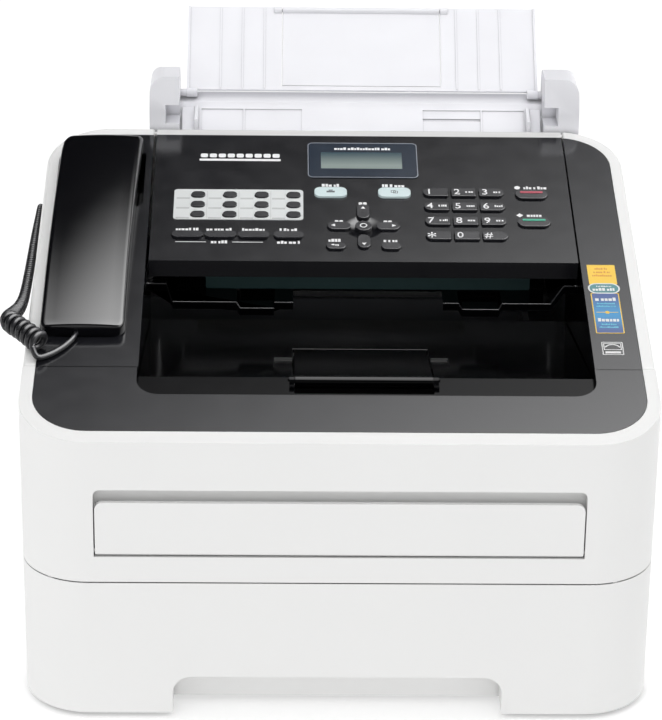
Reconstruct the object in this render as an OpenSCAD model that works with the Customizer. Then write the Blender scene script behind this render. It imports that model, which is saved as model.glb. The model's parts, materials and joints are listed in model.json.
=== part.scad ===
// Desktop laser fax machine with a handset cradle on the left.
// Origin: centre of the footprint, on the floor. +X right, +Y to the rear, +Z up.

/* [Housing] */
// Width of the housing
body_w = 368; // [366:1:370]
// Depth of the housing at the floor
body_d = 360; // [359:1:361]
// Height of the front edge of the top deck
front_h = 177; // [176:0.5:178]
// Slope of the top deck, rising to the rear
top_slope = 13.4; // [13.2:0.1:13.6]
// Radius of the vertical corners
corner_r = 40; // [39:1:41]
// Thickness of the plastic shells
wall = 2.5; // [2.3:0.1:2.6]
// Height of the seam between cassette and front cover
seam_z = 88.6; // [88.4:0.1:88.8]

/* [Deck] */
// Length of the top deck along its slope
deck_len = 329.6; // [329:0.1:330]
// Width of the white rim at the sides
rim_w = 7.5; // [7:0.5:8]
// Left edge of the output opening
well_x0 = -117.5; // [-118:0.1:-117.4]
// Right edge of the output opening
well_x1 = 148.5; // [148.3:0.1:149]

/* [Control panel] */
// Left edge of the control panel
panel_x0 = -115; // [-115.4:0.1:-114.6]
// Right edge of the control panel
panel_x1 = 147.5; // [147:0.1:147.7]
// Distance of the panel's front edge along the deck
panel_s0 = 179; // [178:0.5:180]
// Thickness of the control panel
panel_t = 12; // [11.5:0.5:12]
// Height that the key caps stand proud
key_proud = 1.5; // [1.3:0.1:1.6]

/* [Handset] */
// Width of the handset
handset_w = 46.4; // [45:0.2:46.6]
// Length of the handset
handset_len = 205.6; // [204:0.2:206]
// Height of the handset at its front end
handset_h = 8.2; // [7.8:0.1:8.6]
// Radius of the loose loops of the cord
cord_r = 6.2; // [5.6:0.1:6.4]

/* [Document feeder] */
// Clear width between the document guides
guide_gap = 215; // [214:0.5:215.5]
// Lean of the document support from the floor
support_lean = 42.5; // [42:0.5:43]
// Length of the document support
support_len = 65; // [60:1:66]

/* [Hidden] */
$fn = 72;

// Names, places on the deck (x, s), sizes and end radii (left, right) of the separate keys
digit_w = 15.6;
digit_h = 8.5;
digit_x = [63, 80.6, 98.2];
digit_s = [254.3, 238.4, 222.3, 206.2];
digit_names = [["1", "2", "3"], ["4", "5", "6"], ["7", "8", "9"], ["star", "0", "hash"]];
end_r = digit_h / 2;
soft_r = 0.9;
ring_x = 16.8;
ring_s = 216.2;
dish_r = 12.4;
dish_depth = 1.4;
dish_ball_r = (dish_r * dish_r + dish_depth * dish_depth) / (2 * dish_depth);
DIGIT_KEYS = [for (row = [0:3]) for (col = [0:2])
    [str("key_", digit_names[row][col]), digit_x[col], digit_s[row], digit_w, digit_h,
     col == 0 ? end_r : soft_r, col == 2 ? end_r : soft_r]];
OTHER_KEYS = [
    ["key_fax", -3.2, 254, 20.5, 10.4, 4, 4],
    ["key_copy", 37, 254, 20.5, 10.4, 4, 4],
    ["key_stop", 123.5, 252.9, 20.4, 10, 5, 5],
    ["key_start", 123.2, 221.7, 20.4, 10, 5, 5],
    ["key_up", ring_x, 232.2, 8, 15, 3.9, 3.9],
    ["key_down", ring_x, 199.4, 8, 14, 3.9, 3.9],
    ["key_left", 1.6, ring_s, 14.6, 8, 4, 3.9],
    ["key_right", 32, ring_s, 14.6, 8, 3.9, 4],
    ["key_ok", ring_x, ring_s, 10.4, 10.4, 5.2, 5.2],
    ["key_clear", -0.6, 194.4, 12, 6.8, 3.3, 3.3],
    ["key_menu", 33.4, 194.4, 12, 6.8, 3.3, 3.3]];
KEYS = concat(DIGIT_KEYS, OTHER_KEYS);
one_touch_x = [-86.4, -66.4, -46.5, -26.5];
one_touch_s = [250.4, 239.4, 228.4];
function_keys_x = [[-101.8, -82.4], [-81.4, -62], [-61, -41.6], [-38.8, -20.4]];
function_s = 206;

half_w = body_w / 2;
front_y = -body_d / 2;
rear_y = body_d / 2;
deck_d = deck_len * cos(top_slope);
deck_rear_y = front_y + deck_d;
gap = 0.3;              // clearance between neighbouring shells
base_z = 3;             // height of the lower edge of the shells
plate_t = 2.5;          // thickness of the deck plates
cover_y = front_y + 69; // seam between front cover and side covers
wrap_y = front_y + 42;  // where the cassette front ends at the sides
ledge_z = 205;          // rear ledge behind the deck
ledge_drop = 10;        // fall of the ledge to the rear
rim_front = 10.2;       // depth of the rim at the front
rim_rear = 8.3;
pin_r = 1.5;
bore_r = 1.56;          // running clearance round every hinge pin

well_floor_y = front_y + 70;  // front edge of the output tray floor
well_floor_z = 186;
well_slope = 11.3;            // the output tray falls to the rear
well_len = 180;
ledge_n = 6;                  // depth of the ledge in front of the output tray
flap_x0 = -26;
flap_x1 = 54.5;
flap_s = 66.5;
flap_n = -6.4;
flap_r = 3.2;
flap_y = front_y + flap_s * cos(top_slope) - flap_n * sin(top_slope);
flap_z = front_h + flap_s * sin(top_slope) + flap_n * cos(top_slope);
flap_len = 86;

hinge_y = front_y + 5.8;      // front cover hinge
hinge_z = seam_z + 6;
door_hinge_y = front_y + 3;   // manual feed door hinge
door_hinge_z = 108.4;
door_w = 279;
door_top_z = 139.3;
recess_top_z = 147.3;

tray_floor_y = deck_rear_y + 0.8;  // document tray starts here
tray_floor_z = front_h + deck_d * tan(top_slope) - 14;
tray_bend_y = 164.3;               // rear end of its steep floor
tray_bend_z = 260;
tray_lean = atan2(tray_bend_z - tray_floor_z, tray_bend_y - tray_floor_y);
support_y = 170;
support_z = 268;
feed_x = 18.5;                     // centre line of the document path
support_x0 = -96.8;
support_x1 = 134.4;
ear_in_x0 = -101;
ear_in_x1 = 137;
support_flap_x0 = -34;
support_flap_x1 = 70.5;

handset_x = -150.4;
handset_s = 203.3;
handset_rise = 0.09;               // slope of its back at the front end
handset_crown = 0.000325;          // and how fast that slope falls off
handset_end_r = 9;                 // radius of its rear end
handset_sink = 2.4;                // depth of its underside in the cradle
cup_r = 19.5;
cup_s = 76;                        // distance of each cup from the middle of the handset

rear_door_x = 100;
rear_door_z0 = 70;
rear_door_z1 = 182;
rear_hinge_y = rear_y - 4;
rear_hinge_z = rear_door_z0 + 4;

frame_x = 152;                     // inner face of the chassis side plates
frame_t = 2;                       // thickness of the chassis plates
frame_y0 = -135;                   // front and rear ends of the side plates
frame_y1 = 165;
frame_top = 168;
rail_x = 178;                      // outer edge of the floor rails, which carry the feet
foot_x = 165;
foot_y = 130;
foot_h = 4;
roller_y = -95;                    // pickup roller
roller_z = 74;
screw_x = 104;                     // screws of the back panel
screw_z = [80, 150];
jack_y = [112, 128];               // telephone line jacks in the left cover
jack_z = 36;
cord_jack_y = 80;                  // handset cord jack
cord_jack_z = 132;
inlet_y = 110;                     // power inlet in the right cover
inlet_z = 30;
tray_x = 148;                      // half width of the cassette box
lift_y = -10;                      // pivot of the lifting plate
lift_z = 9.8;

SHELL = "#e6e6e6";
BLACK = "#2c2d30";
GLOSS = "#0c0c0d";
PALE = "#ececf1";
STEEL = "#9a9ca0";

// ---- shapes used by many parts ----

// Places children on the sloping deck: X across, Y along the slope from the front edge, Z out of the deck
module on_deck() {
    translate([0, front_y, front_h]) rotate([top_slope, 0, 0]) children();
}

// Everything between two depths measured square to the deck
module deck_slab(n0, n1) {
    on_deck() translate([-300, -60, n0]) cube([600, 620, n1 - n0]);
}

// A profile drawn in Y and Z, run along X
module along_x(x0, x1) {
    translate([x0, 0, 0]) rotate([90, 0, 90]) linear_extrude(x1 - x0) children();
}

module box(x0, x1, y0, y1, z0, z1) {
    translate([x0, y0, z0]) cube([x1 - x0, y1 - y0, z1 - z0]);
}

module rod_x(x0, x1, r) {
    translate([x0, 0, 0]) rotate([0, 90, 0]) cylinder(r = r, h = x1 - x0);
}

// Rectangle with rounded corners between two corners
module round_rect(x0, x1, y0, y1, r) {
    translate([x0 + r, y0]) square([x1 - x0 - 2 * r, y1 - y0]);
    translate([x0, y0 + r]) square([x1 - x0, y1 - y0 - 2 * r]);
    for (x = [x0 + r, x1 - r], y = [y0 + r, y1 - r]) translate([x, y]) circle(r);
}

// Key outline, with its own end radius on the left and on the right
module key_outline(w, h, rl, rr, grow = 0) {
    left = rl + grow;
    right = rr + grow;
    x0 = -w / 2 - grow;
    x1 = w / 2 + grow;
    y1 = h / 2 + grow;
    if (x1 - x0 > left + right + 0.01)
        translate([x0 + left, -y1]) square([x1 - x0 - left - right, 2 * y1]);
    for (side = [[x0, left, 1], [x1, right, -1]]) {
        for (y = [-1, 1]) translate([side[0] + side[2] * side[1], y * (y1 - side[1])]) circle(side[1]);
        if (y1 > side[1] + 0.01)
            translate([side[2] > 0 ? side[0] : side[0] - side[1], side[1] - y1])
                square([side[1], 2 * (y1 - side[1])]);
    }
}

// Plan of the housing, moved in by i, down to depth d
module plan(i, d) {
    round_rect(-half_w + i, half_w - i, front_y + i, front_y + d - i, corner_r - i);
}

// Solid housing, moved in by i at the sides and by top_i under the deck
module housing(i, top_i, z0) {
    intersection() {
        union() {
            translate([0, 0, z0]) linear_extrude(330) plan(i, deck_d);
            intersection() {
                translate([0, 0, z0]) linear_extrude(330) plan(i, body_d);
                along_x(-half_w, half_w) polygon([
                    [front_y, z0], [rear_y, z0], [rear_y, ledge_z - ledge_drop - i],
                    [deck_rear_y, ledge_z - i], [front_y, ledge_z - i]]);
            }
        }
        deck_slab(-400, -top_i);
    }
}

// Plan of the black deck inside the white rim
module deck_plan(i = 0) {
    round_rect(-half_w + rim_w + i, half_w - rim_w - i, front_y + rim_front + i,
        deck_rear_y - rim_rear - i, corner_r - rim_w - i);
}

module housing_shell(z0) {
    difference() {
        housing(0, 0, z0);
        housing(wall, plate_t, z0 - 1);
        translate([0, 0, front_h - 5]) linear_extrude(150) deck_plan();
    }
}

// Plan of the output opening, grown by g
module well_plan(g = 0) {
    round_rect(well_x0 - g, well_x1 + g, front_y + 45 * cos(top_slope) - g, rear_y, 13.5 + g);
}

// A block with a pin bore, standing on a deck plate's underside
module panel_hinge_lug(x0, x1) {
    difference() {
        on_deck() translate([x0, deck_len - 6.6, -6.4]) cube([x1 - x0, 6.3, 6.2]);
        panel_axis() rod_x(x0 - 1, x1 + 1, bore_r);
    }
}

module panel_axis() {
    on_deck() translate([0, deck_len - 2.9, -2.9]) children();
}

// ---- housing ----

module chassis() {
    color(STEEL) difference() {
        union() {
            for (side = [-1, 1]) {
                plate0 = side > 0 ? frame_x : -frame_x - frame_t;
                box(plate0, plate0 + frame_t, frame_y0, frame_y1, foot_h + frame_t, frame_top);
                rail0 = side > 0 ? frame_x : -rail_x;
                box(rail0, rail0 + rail_x - frame_x, -foot_y - 11, foot_y + 20, foot_h, foot_h + frame_t);
                arm0 = side > 0 ? 130.5 : -133.5;
                box(arm0, arm0 + 3, hinge_y, frame_y0 + 3, hinge_z - 1.5, hinge_z + 1.5);
                translate([0, hinge_y, hinge_z]) rod_x(arm0, arm0 + 3, 3);
            }
            // cross members: front bar, rear plate, paper path plate, engine bar
            box(-frame_x - 1, frame_x + 1, frame_y0 - 2, frame_y0 + 3, hinge_z - 3.6, hinge_z + 1.4);
            box(-frame_x - 1, frame_x + 1, frame_y1 - frame_t, frame_y1, 60, frame_top);
            box(-frame_x - 1, frame_x + 1, -60, frame_y1 - 1, 60, 62);
            box(-frame_x - 1, frame_x + 1, 20, 24, 150, 153);
            // housing of the power inlet
            box(frame_x + 1, half_w - 0.4, inlet_y + 0.4, inlet_y + 26.6, inlet_z + 0.4, inlet_z + 19.6);
        }
        box(half_w - 14, half_w, inlet_y + 3, inlet_y + 24, inlet_z + 3, inlet_z + 17);
        translate([0, hinge_y, hinge_z]) rod_x(-140, 140, bore_r);
        translate([0, roller_y, roller_z]) rod_x(-160, 160, 4.05);
        // opening behind the rear cover
        box(-90, 90, frame_y1 - 3, frame_y1 + 1, 75, 160);
        at_back_screws(150) cylinder(r = 1.6, h = 20);
    }
}

// Children at each screw of the back panel, with Z to the rear from depth y
module at_back_screws(y) {
    for (x = [-screw_x, screw_x], z = screw_z) translate([x, y, z]) rotate([-90, 0, 0]) children();
}

module left_cover() {
    color(SHELL) difference() {
        union() {
            intersection() {
                housing_shell(base_z);
                side_region(-200, well_x0 + 0.9);
            }
            intersection() {
                panel_hinge_lug(-123, well_x0 + 0.9);
                housing(0, 0, base_z);
            }
        }
        panel_axis() rod_x(panel_x0 - 5.7, panel_x0, bore_r);
        vents(-half_w - 1);
        translate([-half_w - 1, cord_jack_y, cord_jack_z]) cube([wall + 2, 12, 10]);
        for (y = jack_y) translate([-half_w - 1, y, jack_z]) cube([wall + 2, 12, 9]);
    }
}

module right_cover() {
    color(SHELL) difference() {
        union() {
            intersection() {
                housing_shell(base_z);
                side_region(well_x1 + 0.1, 200);
            }
            intersection() {
                panel_hinge_lug(well_x1 + 0.1, 154.5);
                housing(0, 0, base_z);
            }
        }
        panel_axis() rod_x(panel_x1, panel_x1 + 5.7, bore_r);
        vents(half_w - wall - 1);
        translate([half_w - wall - 1, inlet_y, inlet_z]) cube([wall + 2, 27, 20]);
    }
}

// The part of the housing that belongs to a side cover
module side_region(x0, x1) {
    box(x0, x1, cover_y + gap, rear_y + 5, seam_z - 1, 300);
    box(x0, x1, wrap_y + gap, rear_y + 5, 0, seam_z);
}

// Two rows of cooling slots in a side wall
module vents(x) {
    for (row = [0:1], i = [0:9])
        translate([x, -30 + 8 * i, 110 + 34 * row]) cube([wall + 2, 3, 26]);
}

module back_panel() {
    x0 = well_x0 + 1.2;
    x1 = well_x1 - 0.2;
    color(SHELL) difference() {
        union() {
            intersection() {
                housing_shell(base_z);
                box(x0, x1, 60, rear_y + 5, base_z, ledge_z + 1);
                union() {
                    box(x0, x1, rear_y - wall, rear_y, base_z, 300);
                    box(x0, x1, deck_rear_y - wall, rear_y, ledge_z - ledge_drop - 5, 300);
                }
            }
            box(x0, x1, deck_rear_y - wall, deck_rear_y, ledge_z - 3, 230);
            at_back_screws(frame_y1 + gap) cylinder(r = 5, h = rear_y - frame_y1 - gap);
            for (side = [-1, 1]) {
                lug0 = side > 0 ? rear_door_x + 0.3 : -rear_door_x - 4.3;
                box(lug0, lug0 + 4, rear_hinge_y - 4, rear_y - 1, rear_hinge_z - 4, rear_hinge_z + 4);
            }
        }
        box(-rear_door_x - 0.3, rear_door_x + 0.3, 170, rear_y + 1, rear_door_z0 - 0.4, rear_door_z1 + 0.4);
        translate([0, rear_hinge_y, rear_hinge_z]) rod_x(-106, 106, bore_r);
        at_back_screws(frame_y1 + 3) {
            translate([0, 0, -5]) cylinder(r = 1.6, h = 30);
            cylinder(r = 3.4, h = 30);
        }
    }
}

module rear_cover() {
    color(SHELL) difference() {
        union() {
            box(-rear_door_x, rear_door_x, rear_y - wall, rear_y, rear_hinge_z, rear_door_z1);
            for (x = [-rear_door_x, rear_door_x - 2.5])
                box(x, x + 2.5, rear_y - 9, rear_y, rear_hinge_z + 8, rear_door_z1);
            box(-rear_door_x, rear_door_x, rear_y - 9, rear_y, rear_door_z1 - 2.5, rear_door_z1);
            translate([0, rear_hinge_y, rear_hinge_z]) {
                rod_x(-rear_door_x, rear_door_x, 4);
                rod_x(-rear_door_x - 3.8, rear_door_x + 3.8, pin_r);
            }
        }
        box(-22, 22, rear_y - 1.2, rear_y + 1, rear_door_z1 - 16, rear_door_z1 - 6);
    }
}

// ---- top deck ----

// Right-hand strip of the black deck, with the wall of the output opening and a lip under the rim
module top_bezel() {
    x0 = well_x1 + 0.1;
    color(BLACK) union() {
        intersection() {
            translate([0, 0, front_h]) linear_extrude(100) deck_plan(gap);
            deck_slab(-plate_t, 0);
            box(x0, 200, cover_y + gap, 200, 0, 300);
        }
        intersection() {
            translate([0, 0, front_h]) linear_extrude(100) deck_plan(-4);
            deck_slab(-plate_t - 2, -plate_t - 0.1);
            box(x0, 200, cover_y + gap, 120, 0, 300);
        }
        well_wall(x0, x0 + 2);
    }
}

// Side wall of the output opening, down to the output tray
module well_wall(x0, x1) {
    intersection() {
        deck_slab(-90, -0.4);
        along_x(x0, x1) polygon([
            [cover_y + gap, well_floor_z - 3],
            [well_floor_y + well_len, well_floor_z - 3 - well_len * tan(well_slope)],
            [well_floor_y + well_len, 260], [cover_y + gap, 260]]);
        box(-200, 200, cover_y + gap, 128, 0, 300);
    }
}

module handset_cradle() {
    x1 = well_x0 - 0.1;
    color(BLACK) difference() {
        union() {
            intersection() {
                translate([0, 0, front_h - 25]) linear_extrude(120) deck_plan(gap);
                union() {
                    intersection() {
                        deck_slab(-plate_t, 0);
                        box(-200, well_x0 + 0.6, cover_y + gap, 200, 0, 300);
                    }
                    intersection() {
                        deck_slab(-20, -plate_t + 0.1);
                        box(handset_x - handset_w / 2 - 2, x1, cover_y + gap + 18, 122, 0, 300);
                    }
                }
            }
            well_wall(x1 - 2, x1);
        }
        on_deck() {
            // trough for the handle and a deep cup at each end
            translate([0, 0, -3.2]) linear_extrude(10)
                round_rect(handset_x - handset_w / 2 - 1, handset_x + handset_w / 2 + 1,
                    handset_s - handset_len / 2 - 1, handset_s + handset_len / 2 + 1, 9);
            for (s = [handset_s - cup_s, handset_s + cup_s]) translate([handset_x, s, -17])
                cylinder(r = cup_r + 0.8, h = 20);
            // finger notch: a shallow scoop that runs into a deep slot
            translate([0, 0, -5]) linear_extrude(10) round_rect(-139, -121, 236, 270, 8);
            translate([-133, 260, -14]) cube([12, 39, 20]);
            // hook plunger slot
            translate([handset_x - 4.3, handset_s + 30 - 3.3, -30]) cube([8.6, 6.6, 40]);
        }
    }
}

module document_shelf() {
    z_low = 184;
    y0 = front_y + 182;
    y1 = 100;
    color(BLACK) difference() {
        union() {
            wing([[well_x0 + 0.3, z_low + 16], [-104.5, z_low + 16], [-100.8, z_low + 4], [-61.8, z_low + 4],
                [-59.4, z_low], [-38.4, z_low], [-38.2, z_low + 4], [-26.6, z_low + 4]], y0, y1);
            wing([[66, z_low + 4], [75.5, z_low + 4], [77.8, z_low], [100.5, z_low], [102.4, z_low + 4],
                [132.4, z_low + 4], [140, z_low + 16], [well_x1 - 0.3, z_low + 16]], y0, y1);
            // ribbed back strip between the wings and the feeder base
            box(-98, 130, 26, 28, z_low + 2, 206);
            // feeder base under the panel
            on_deck() translate([panel_x0 + 0.5, 214, -18.5]) cube([panel_x1 - panel_x0 - 1, 108, 3.5]);
            for (x = [-98, 127]) box(x, x + 3, 26, 100, z_low + 2, 206);
        }
        // image sensor window
        on_deck() translate([-101, 240, -30]) cube([237, 17, 40]);
    }
}

// A bent sheet: outline given along its top edge, thickness downwards, from y0 to y1
module wing(top, y0, y1) {
    n = len(top);
    t = 2;
    bottom = [for (i = [n - 1:-1:0]) [top[i][0], top[i][1] - t]];
    translate([0, y1, 0]) rotate([90, 0, 0]) linear_extrude(y1 - y0) polygon(concat(top, bottom));
    skirt = [for (i = [n - 1:-1:0]) [top[i][0], top[i][1] - 5]];
    translate([0, y0 + 2, 0]) rotate([90, 0, 0]) linear_extrude(2) polygon(concat(top, skirt));
}

module image_sensor() {
    color("#1c3036") on_deck() translate([-100.7, 240.3, -28]) cube([236.4, 16.4, 12.8]);
}

// ---- output tray ----

// Frame whose Y axis runs down the output tray floor from the flap hinge
module on_well_floor() {
    translate([0, flap_y, flap_z]) rotate([-well_slope, 0, 0]) children();
}

module output_tray() {
    x0 = well_x0 + 0.1;
    x1 = well_x1 - 0.1;
    recess = 3.2;
    color(GLOSS) difference() {
        intersection() {
            on_well_floor() translate([x0, 0, -5.5]) cube([x1 - x0, well_len, 6]);
            box(-200, 200, cover_y + gap, 62, 0, 300);
        }
        on_well_floor() {
            translate([flap_x0 - 1, -1, -recess + 0.4]) cube([flap_x1 - flap_x0 + 2, flap_len + 4, 10]);
            translate([flap_x0 - 12, 36, -1]) cube([flap_x1 - flap_x0 + 24, 26, 10]);
        }
    }
}

module output_flap() {
    color(GLOSS) on_well_floor() {
        difference() {
            union() {
                translate([flap_x0, 0, -1.6]) cube([flap_x1 - flap_x0, flap_len, 2.4]);
                rod_x(flap_x0, flap_x1, flap_r);
                rod_x(flap_x0 - 2.6, flap_x1 + 2.6, pin_r);
            }
            translate([flap_x0 + 12, flap_len - 3, 0.2]) cube([flap_x1 - flap_x0 - 24, 4, 2]);
        }
    }
}

// ---- front cover ----

module front_cover() {
    pocket = 8;
    half_recess = door_w / 2 + 0.8;
    color(SHELL) difference() {
        union() {
            intersection() {
                housing_shell(seam_z + 0.4);
                box(-200, 200, front_y - 1, cover_y, 0, 300);
            }
            // pocket behind the manual feed door
            box(-half_recess - 3, half_recess + 3, front_y + 1, front_y + pocket + 2,
                103.6, recess_top_z + 2);
            for (side = [-1, 1]) {
                lug0 = side > 0 ? 125 : -130;
                box(lug0, lug0 + 5, front_y + 1, hinge_y + 2.5, hinge_z - 2.5, hinge_z + 7);
                translate([0, hinge_y, hinge_z])
                    rod_x(side > 0 ? 125 : -133.3, side > 0 ? 133.3 : -125, pin_r);
            }
        }
        box(-half_recess, half_recess, front_y - 1, front_y + pocket, 105, door_top_z + 0.4);
        translate([0, front_y + pocket, 0]) rotate([90, 0, 0]) linear_extrude(pocket + 1)
            round_rect(-half_recess, half_recess, 105, recess_top_z, 4);
        // sheet slot into the machine
        box(-110, 110, front_y + pocket - 1, front_y + pocket + 3, 112, 126);
        translate([0, door_hinge_y, door_hinge_z]) rod_x(-half_recess - 2.6, half_recess + 2.6, bore_r);
    }
}

module manual_feed_cover() {
    r = 4.7;
    half = door_w / 2;
    color(SHELL) {
        difference() {
            translate([0, door_hinge_y, 0]) rotate([90, 0, 0]) linear_extrude(3)
                round_rect(-half, half, door_hinge_z - 3 - r, door_top_z, r);
            box(-half - 1, half + 1, front_y - 1, front_y + 4, 0, door_hinge_z);
        }
        translate([0, door_hinge_y, door_hinge_z]) {
            rod_x(-half, half, 3);
            rod_x(-half - 2.8, half + 2.8, pin_r);
        }
        for (x = [-90, 0, 90])
            box(x - 1, x + 1, door_hinge_y - 0.5, door_hinge_y + 2.5, door_hinge_z + 1, door_top_z - 6);
    }
}

module front_deck() {
    cut_y0 = front_y + 55.5 * cos(top_slope);
    color(BLACK) difference() {
        union() {
            intersection() {
                translate([0, 0, front_h - 5]) linear_extrude(60) difference() {
                    deck_plan(gap);
                    well_plan();
                }
                deck_slab(-plate_t, 0);
                box(-200, 200, front_y, cover_y, 0, 300);
            }
            // wall round the front of the output opening
            intersection() {
                translate([0, 0, front_h - 15]) linear_extrude(70) difference() {
                    well_plan(2);
                    well_plan();
                }
                deck_slab(-ledge_n - 2, -0.4);
                box(-200, 200, front_y, cover_y, 0, 300);
            }
            // ledge that ends in the crest
            intersection() {
                translate([0, 0, front_h - 15]) linear_extrude(70) well_plan(1);
                deck_slab(-ledge_n - 2, -ledge_n);
                box(-200, 200, front_y, cover_y, 0, 300);
            }
            // hinge lugs of the output flap
            for (x = [flap_x0 - 3.2, flap_x1 + 0.2]) {
                translate([0, flap_y, flap_z]) rod_x(x, x + 3, 3);
                translate([x, flap_y - 9, flap_z - 5]) cube([3, 12, 5]);
            }
        }
        box(flap_x0 - 0.2, flap_x1 + 0.2, cut_y0, cover_y + 1, 100, 300);
        translate([0, flap_y, flap_z]) rod_x(flap_x0 - 4, flap_x1 + 4, bore_r);
    }
}

// ---- cassette ----

module paper_tray() {
    grip_half = 96;
    grip_z = 27;
    grip_deep = 20;
    color(SHELL) difference() {
        union() {
            // front panel that wraps round the corners
            difference() {
                intersection() {
                    housing(0, 0, base_z);
                    box(-200, 200, front_y - 1, wrap_y, 0, seam_z - 0.4);
                }
                housing(wall, 0, base_z - 1);
            }
            // walls and floor of the sheet box
            difference() {
                box(-tray_x, tray_x, -168, 155, 5, 55);
                box(-tray_x + 2.2, tray_x - 2.2, -154, 153, 7.2, 60);
                box(-tray_x + 2.2, tray_x - 2.2, -166, -156, 7.2, 60);
            }
            box(-150, 150, front_y + 1, -167, 30, 33);
            for (x = [-130, -60, 60, 127]) box(x, x + 3, front_y + 1, -167, 28, 56);
            // lugs of the lifting plate
            for (x = [-116, 112.6]) box(x, x + 3.4, lift_y - 4, lift_y + 4, 6, lift_z + 3.5);
            // ceiling and back of the grip
            box(-grip_half - 3, grip_half + 3, front_y + 1, front_y + grip_deep + 2,
                base_z + 0.5, grip_z + 3);
        }
        translate([0, lift_y, lift_z]) rod_x(-116.5, 116.5, 1.46);
        // lip that lets the front cover swing down past the seam
        translate([0, 0, seam_z - 1.6]) linear_extrude(5) plan(0.8, body_d);
        // grip, open at the front and the bottom
        translate([0, front_y + grip_deep, 0]) rotate([90, 0, 0]) linear_extrude(grip_deep + 1)
            round_rect(-grip_half, grip_half, -20, grip_z, 11);
    }
}

module lift_plate() {
    color(STEEL) {
        difference() {
            box(-112, 112, -150, lift_y, 8.4, 9.6);
            for (x = [-70, 70]) box(x - 8, x + 8, -130, -60, 8, 10);
        }
        translate([0, lift_y, lift_z]) rod_x(-115.4, 115.4, 1.4);
    }
}

module pickup_roller() {
    color("#303235") translate([0, roller_y, roller_z]) {
        rod_x(-156, 156, 4);
        difference() {
            rod_x(-28, 28, 14);
            rod_x(-29, 29, 3.5);
        }
    }
}

// ---- engine ----

module drum_unit() {
    color("#55585c") difference() {
        box(-126, 126, -128, 16, 88.5, 124);
        box(-122, 122, -125, -34, 96, 130);
        box(-122, 122, -32, 13, 84, 130);
        translate([0, -10, 106]) rod_x(-130, 130, 3.06);
        box(-60, 60, -108, -82, 84, 99);
    }
}

module photo_drum() {
    color("#2f6f68") translate([0, -10, 106]) {
        rod_x(-119, 119, 15);
        rod_x(-129, 129, 3);
    }
}

module toner_cartridge() {
    color("#26272a") {
        along_x(-118, 118) polygon([[-122, 98], [-40, 98], [-38, 112], [-44, 132], [-60, 146],
            [-108, 146], [-122, 134]]);
        box(-40, 40, -128, -121, 128, 134);
    }
}

module fuser_unit() {
    color("#6b6e72") difference() {
        box(-128, 128, 66, 130, 98, 140);
        box(-124, 124, 70, 126, 104, 141);
        box(-110, 110, 60, 140, 118, 124);
    }
    color("#8a3b2a") translate([0, 84, 119]) rod_x(-124, 124, 12);
}

module laser_unit() {
    color("#7d8084") difference() {
        box(-95, 95, -30, 56, 126, 146);
        box(-70, 70, -31, -20, 130, 136);
    }
    color("#7d8084") translate([30, 20, 145]) cylinder(r = 20, h = 4);
}

module main_board() {
    color("#2e6b3f") box(-172, -170.4, -60, 158, 12, 162);
    color("#c9b98a") {
        // sockets behind the jack openings
        box(-half_w + 0.4, -172, cord_jack_y + 0.4, cord_jack_y + 11.6, cord_jack_z + 0.4, cord_jack_z + 9.6);
        for (y = jack_y) box(-half_w + 0.4, -172, y + 0.4, y + 11.6, jack_z + 0.4, jack_z + 8.6);
        for (i = [0:3]) box(-170.5, -165, -40 + 44 * i, -16 + 44 * i, 60, 84);
        box(-170.5, -160, -50, 130, 130, 140);
    }
}

// ---- control panel ----

// Outline of every key and window opening of the panel, grown by g
module panel_openings(g) {
    for (k = KEYS) translate([k[1], k[2]]) key_outline(k[3], k[4], k[5], k[6], g);
    for (x = one_touch_x, s = one_touch_s) translate([x, s]) key_outline(8.4, 5.8, 2.8, 2.8, g);
    for (f = function_keys_x) translate([(f[0] + f[1]) / 2, function_s])
        key_outline(f[1] - f[0], 6.8, 3.3, 3.3, g);
}

module control_panel() {
    rear_s = deck_len - 2.9;
    skin = 2.2;
    color(BLACK) on_deck() difference() {
        union() {
            translate([panel_x0, panel_s0, -panel_t])
                cube([panel_x1 - panel_x0, rear_s - panel_s0, panel_t]);
            translate([0, rear_s, -2.9]) rod_x(panel_x0, panel_x1, 2.9);
            translate([0, rear_s, -2.9]) rod_x(panel_x0 - 5.4, panel_x1 + 5.4, pin_r);
        }
        translate([panel_x0 + skin, panel_s0 + skin, -panel_t + 1.6])
            cube([panel_x1 - panel_x0 - 2 * skin, rear_s - panel_s0 - 6, panel_t - skin - 1.6]);
        translate([0, 0, -skin - 1]) linear_extrude(5) panel_openings(0.25);
        // shallow dish round the arrow keys
        translate([ring_x, ring_s, dish_ball_r - dish_depth]) sphere(dish_ball_r, $fn = 180);
        // display window
        translate([0, 0, -skin - 1]) linear_extrude(5) round_rect(-17.2, 52.6, 271.6, 311.8, 3.2);
    }
}

module display() {
    color("#1e2a38") on_deck() {
        translate([0, 0, -2.2]) linear_extrude(2.7) round_rect(-17, 52.4, 271.8, 311.6, 3);
        translate([-19, 270, -6]) cube([73.4, 43.6, 3.7]);
    }
}

module key(k) {
    foot = 4.2;
    color(key_colour(k[0])) on_deck() translate([k[1], k[2], 0]) {
        translate([0, 0, -foot]) linear_extrude(foot + key_proud) key_outline(k[3], k[4], k[5], k[6]);
        translate([0, 0, -foot]) linear_extrude(1.2) key_outline(k[3], k[4], k[5], k[6], 0.7);
    }
}

function key_colour(name) =
    name == "key_fax" || name == "key_copy" ? "#cfdcdc" :
    name == "key_stop" ? "#8a2a34" :
    name == "key_start" ? "#1e7a5c" : "#303135";

// Rubber mat with its key caps
module key_mat(x0, x1, s0, s1) {
    on_deck() translate([0, 0, -4.6]) linear_extrude(1.2) round_rect(x0, x1, s0, s1, 2);
}

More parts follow.
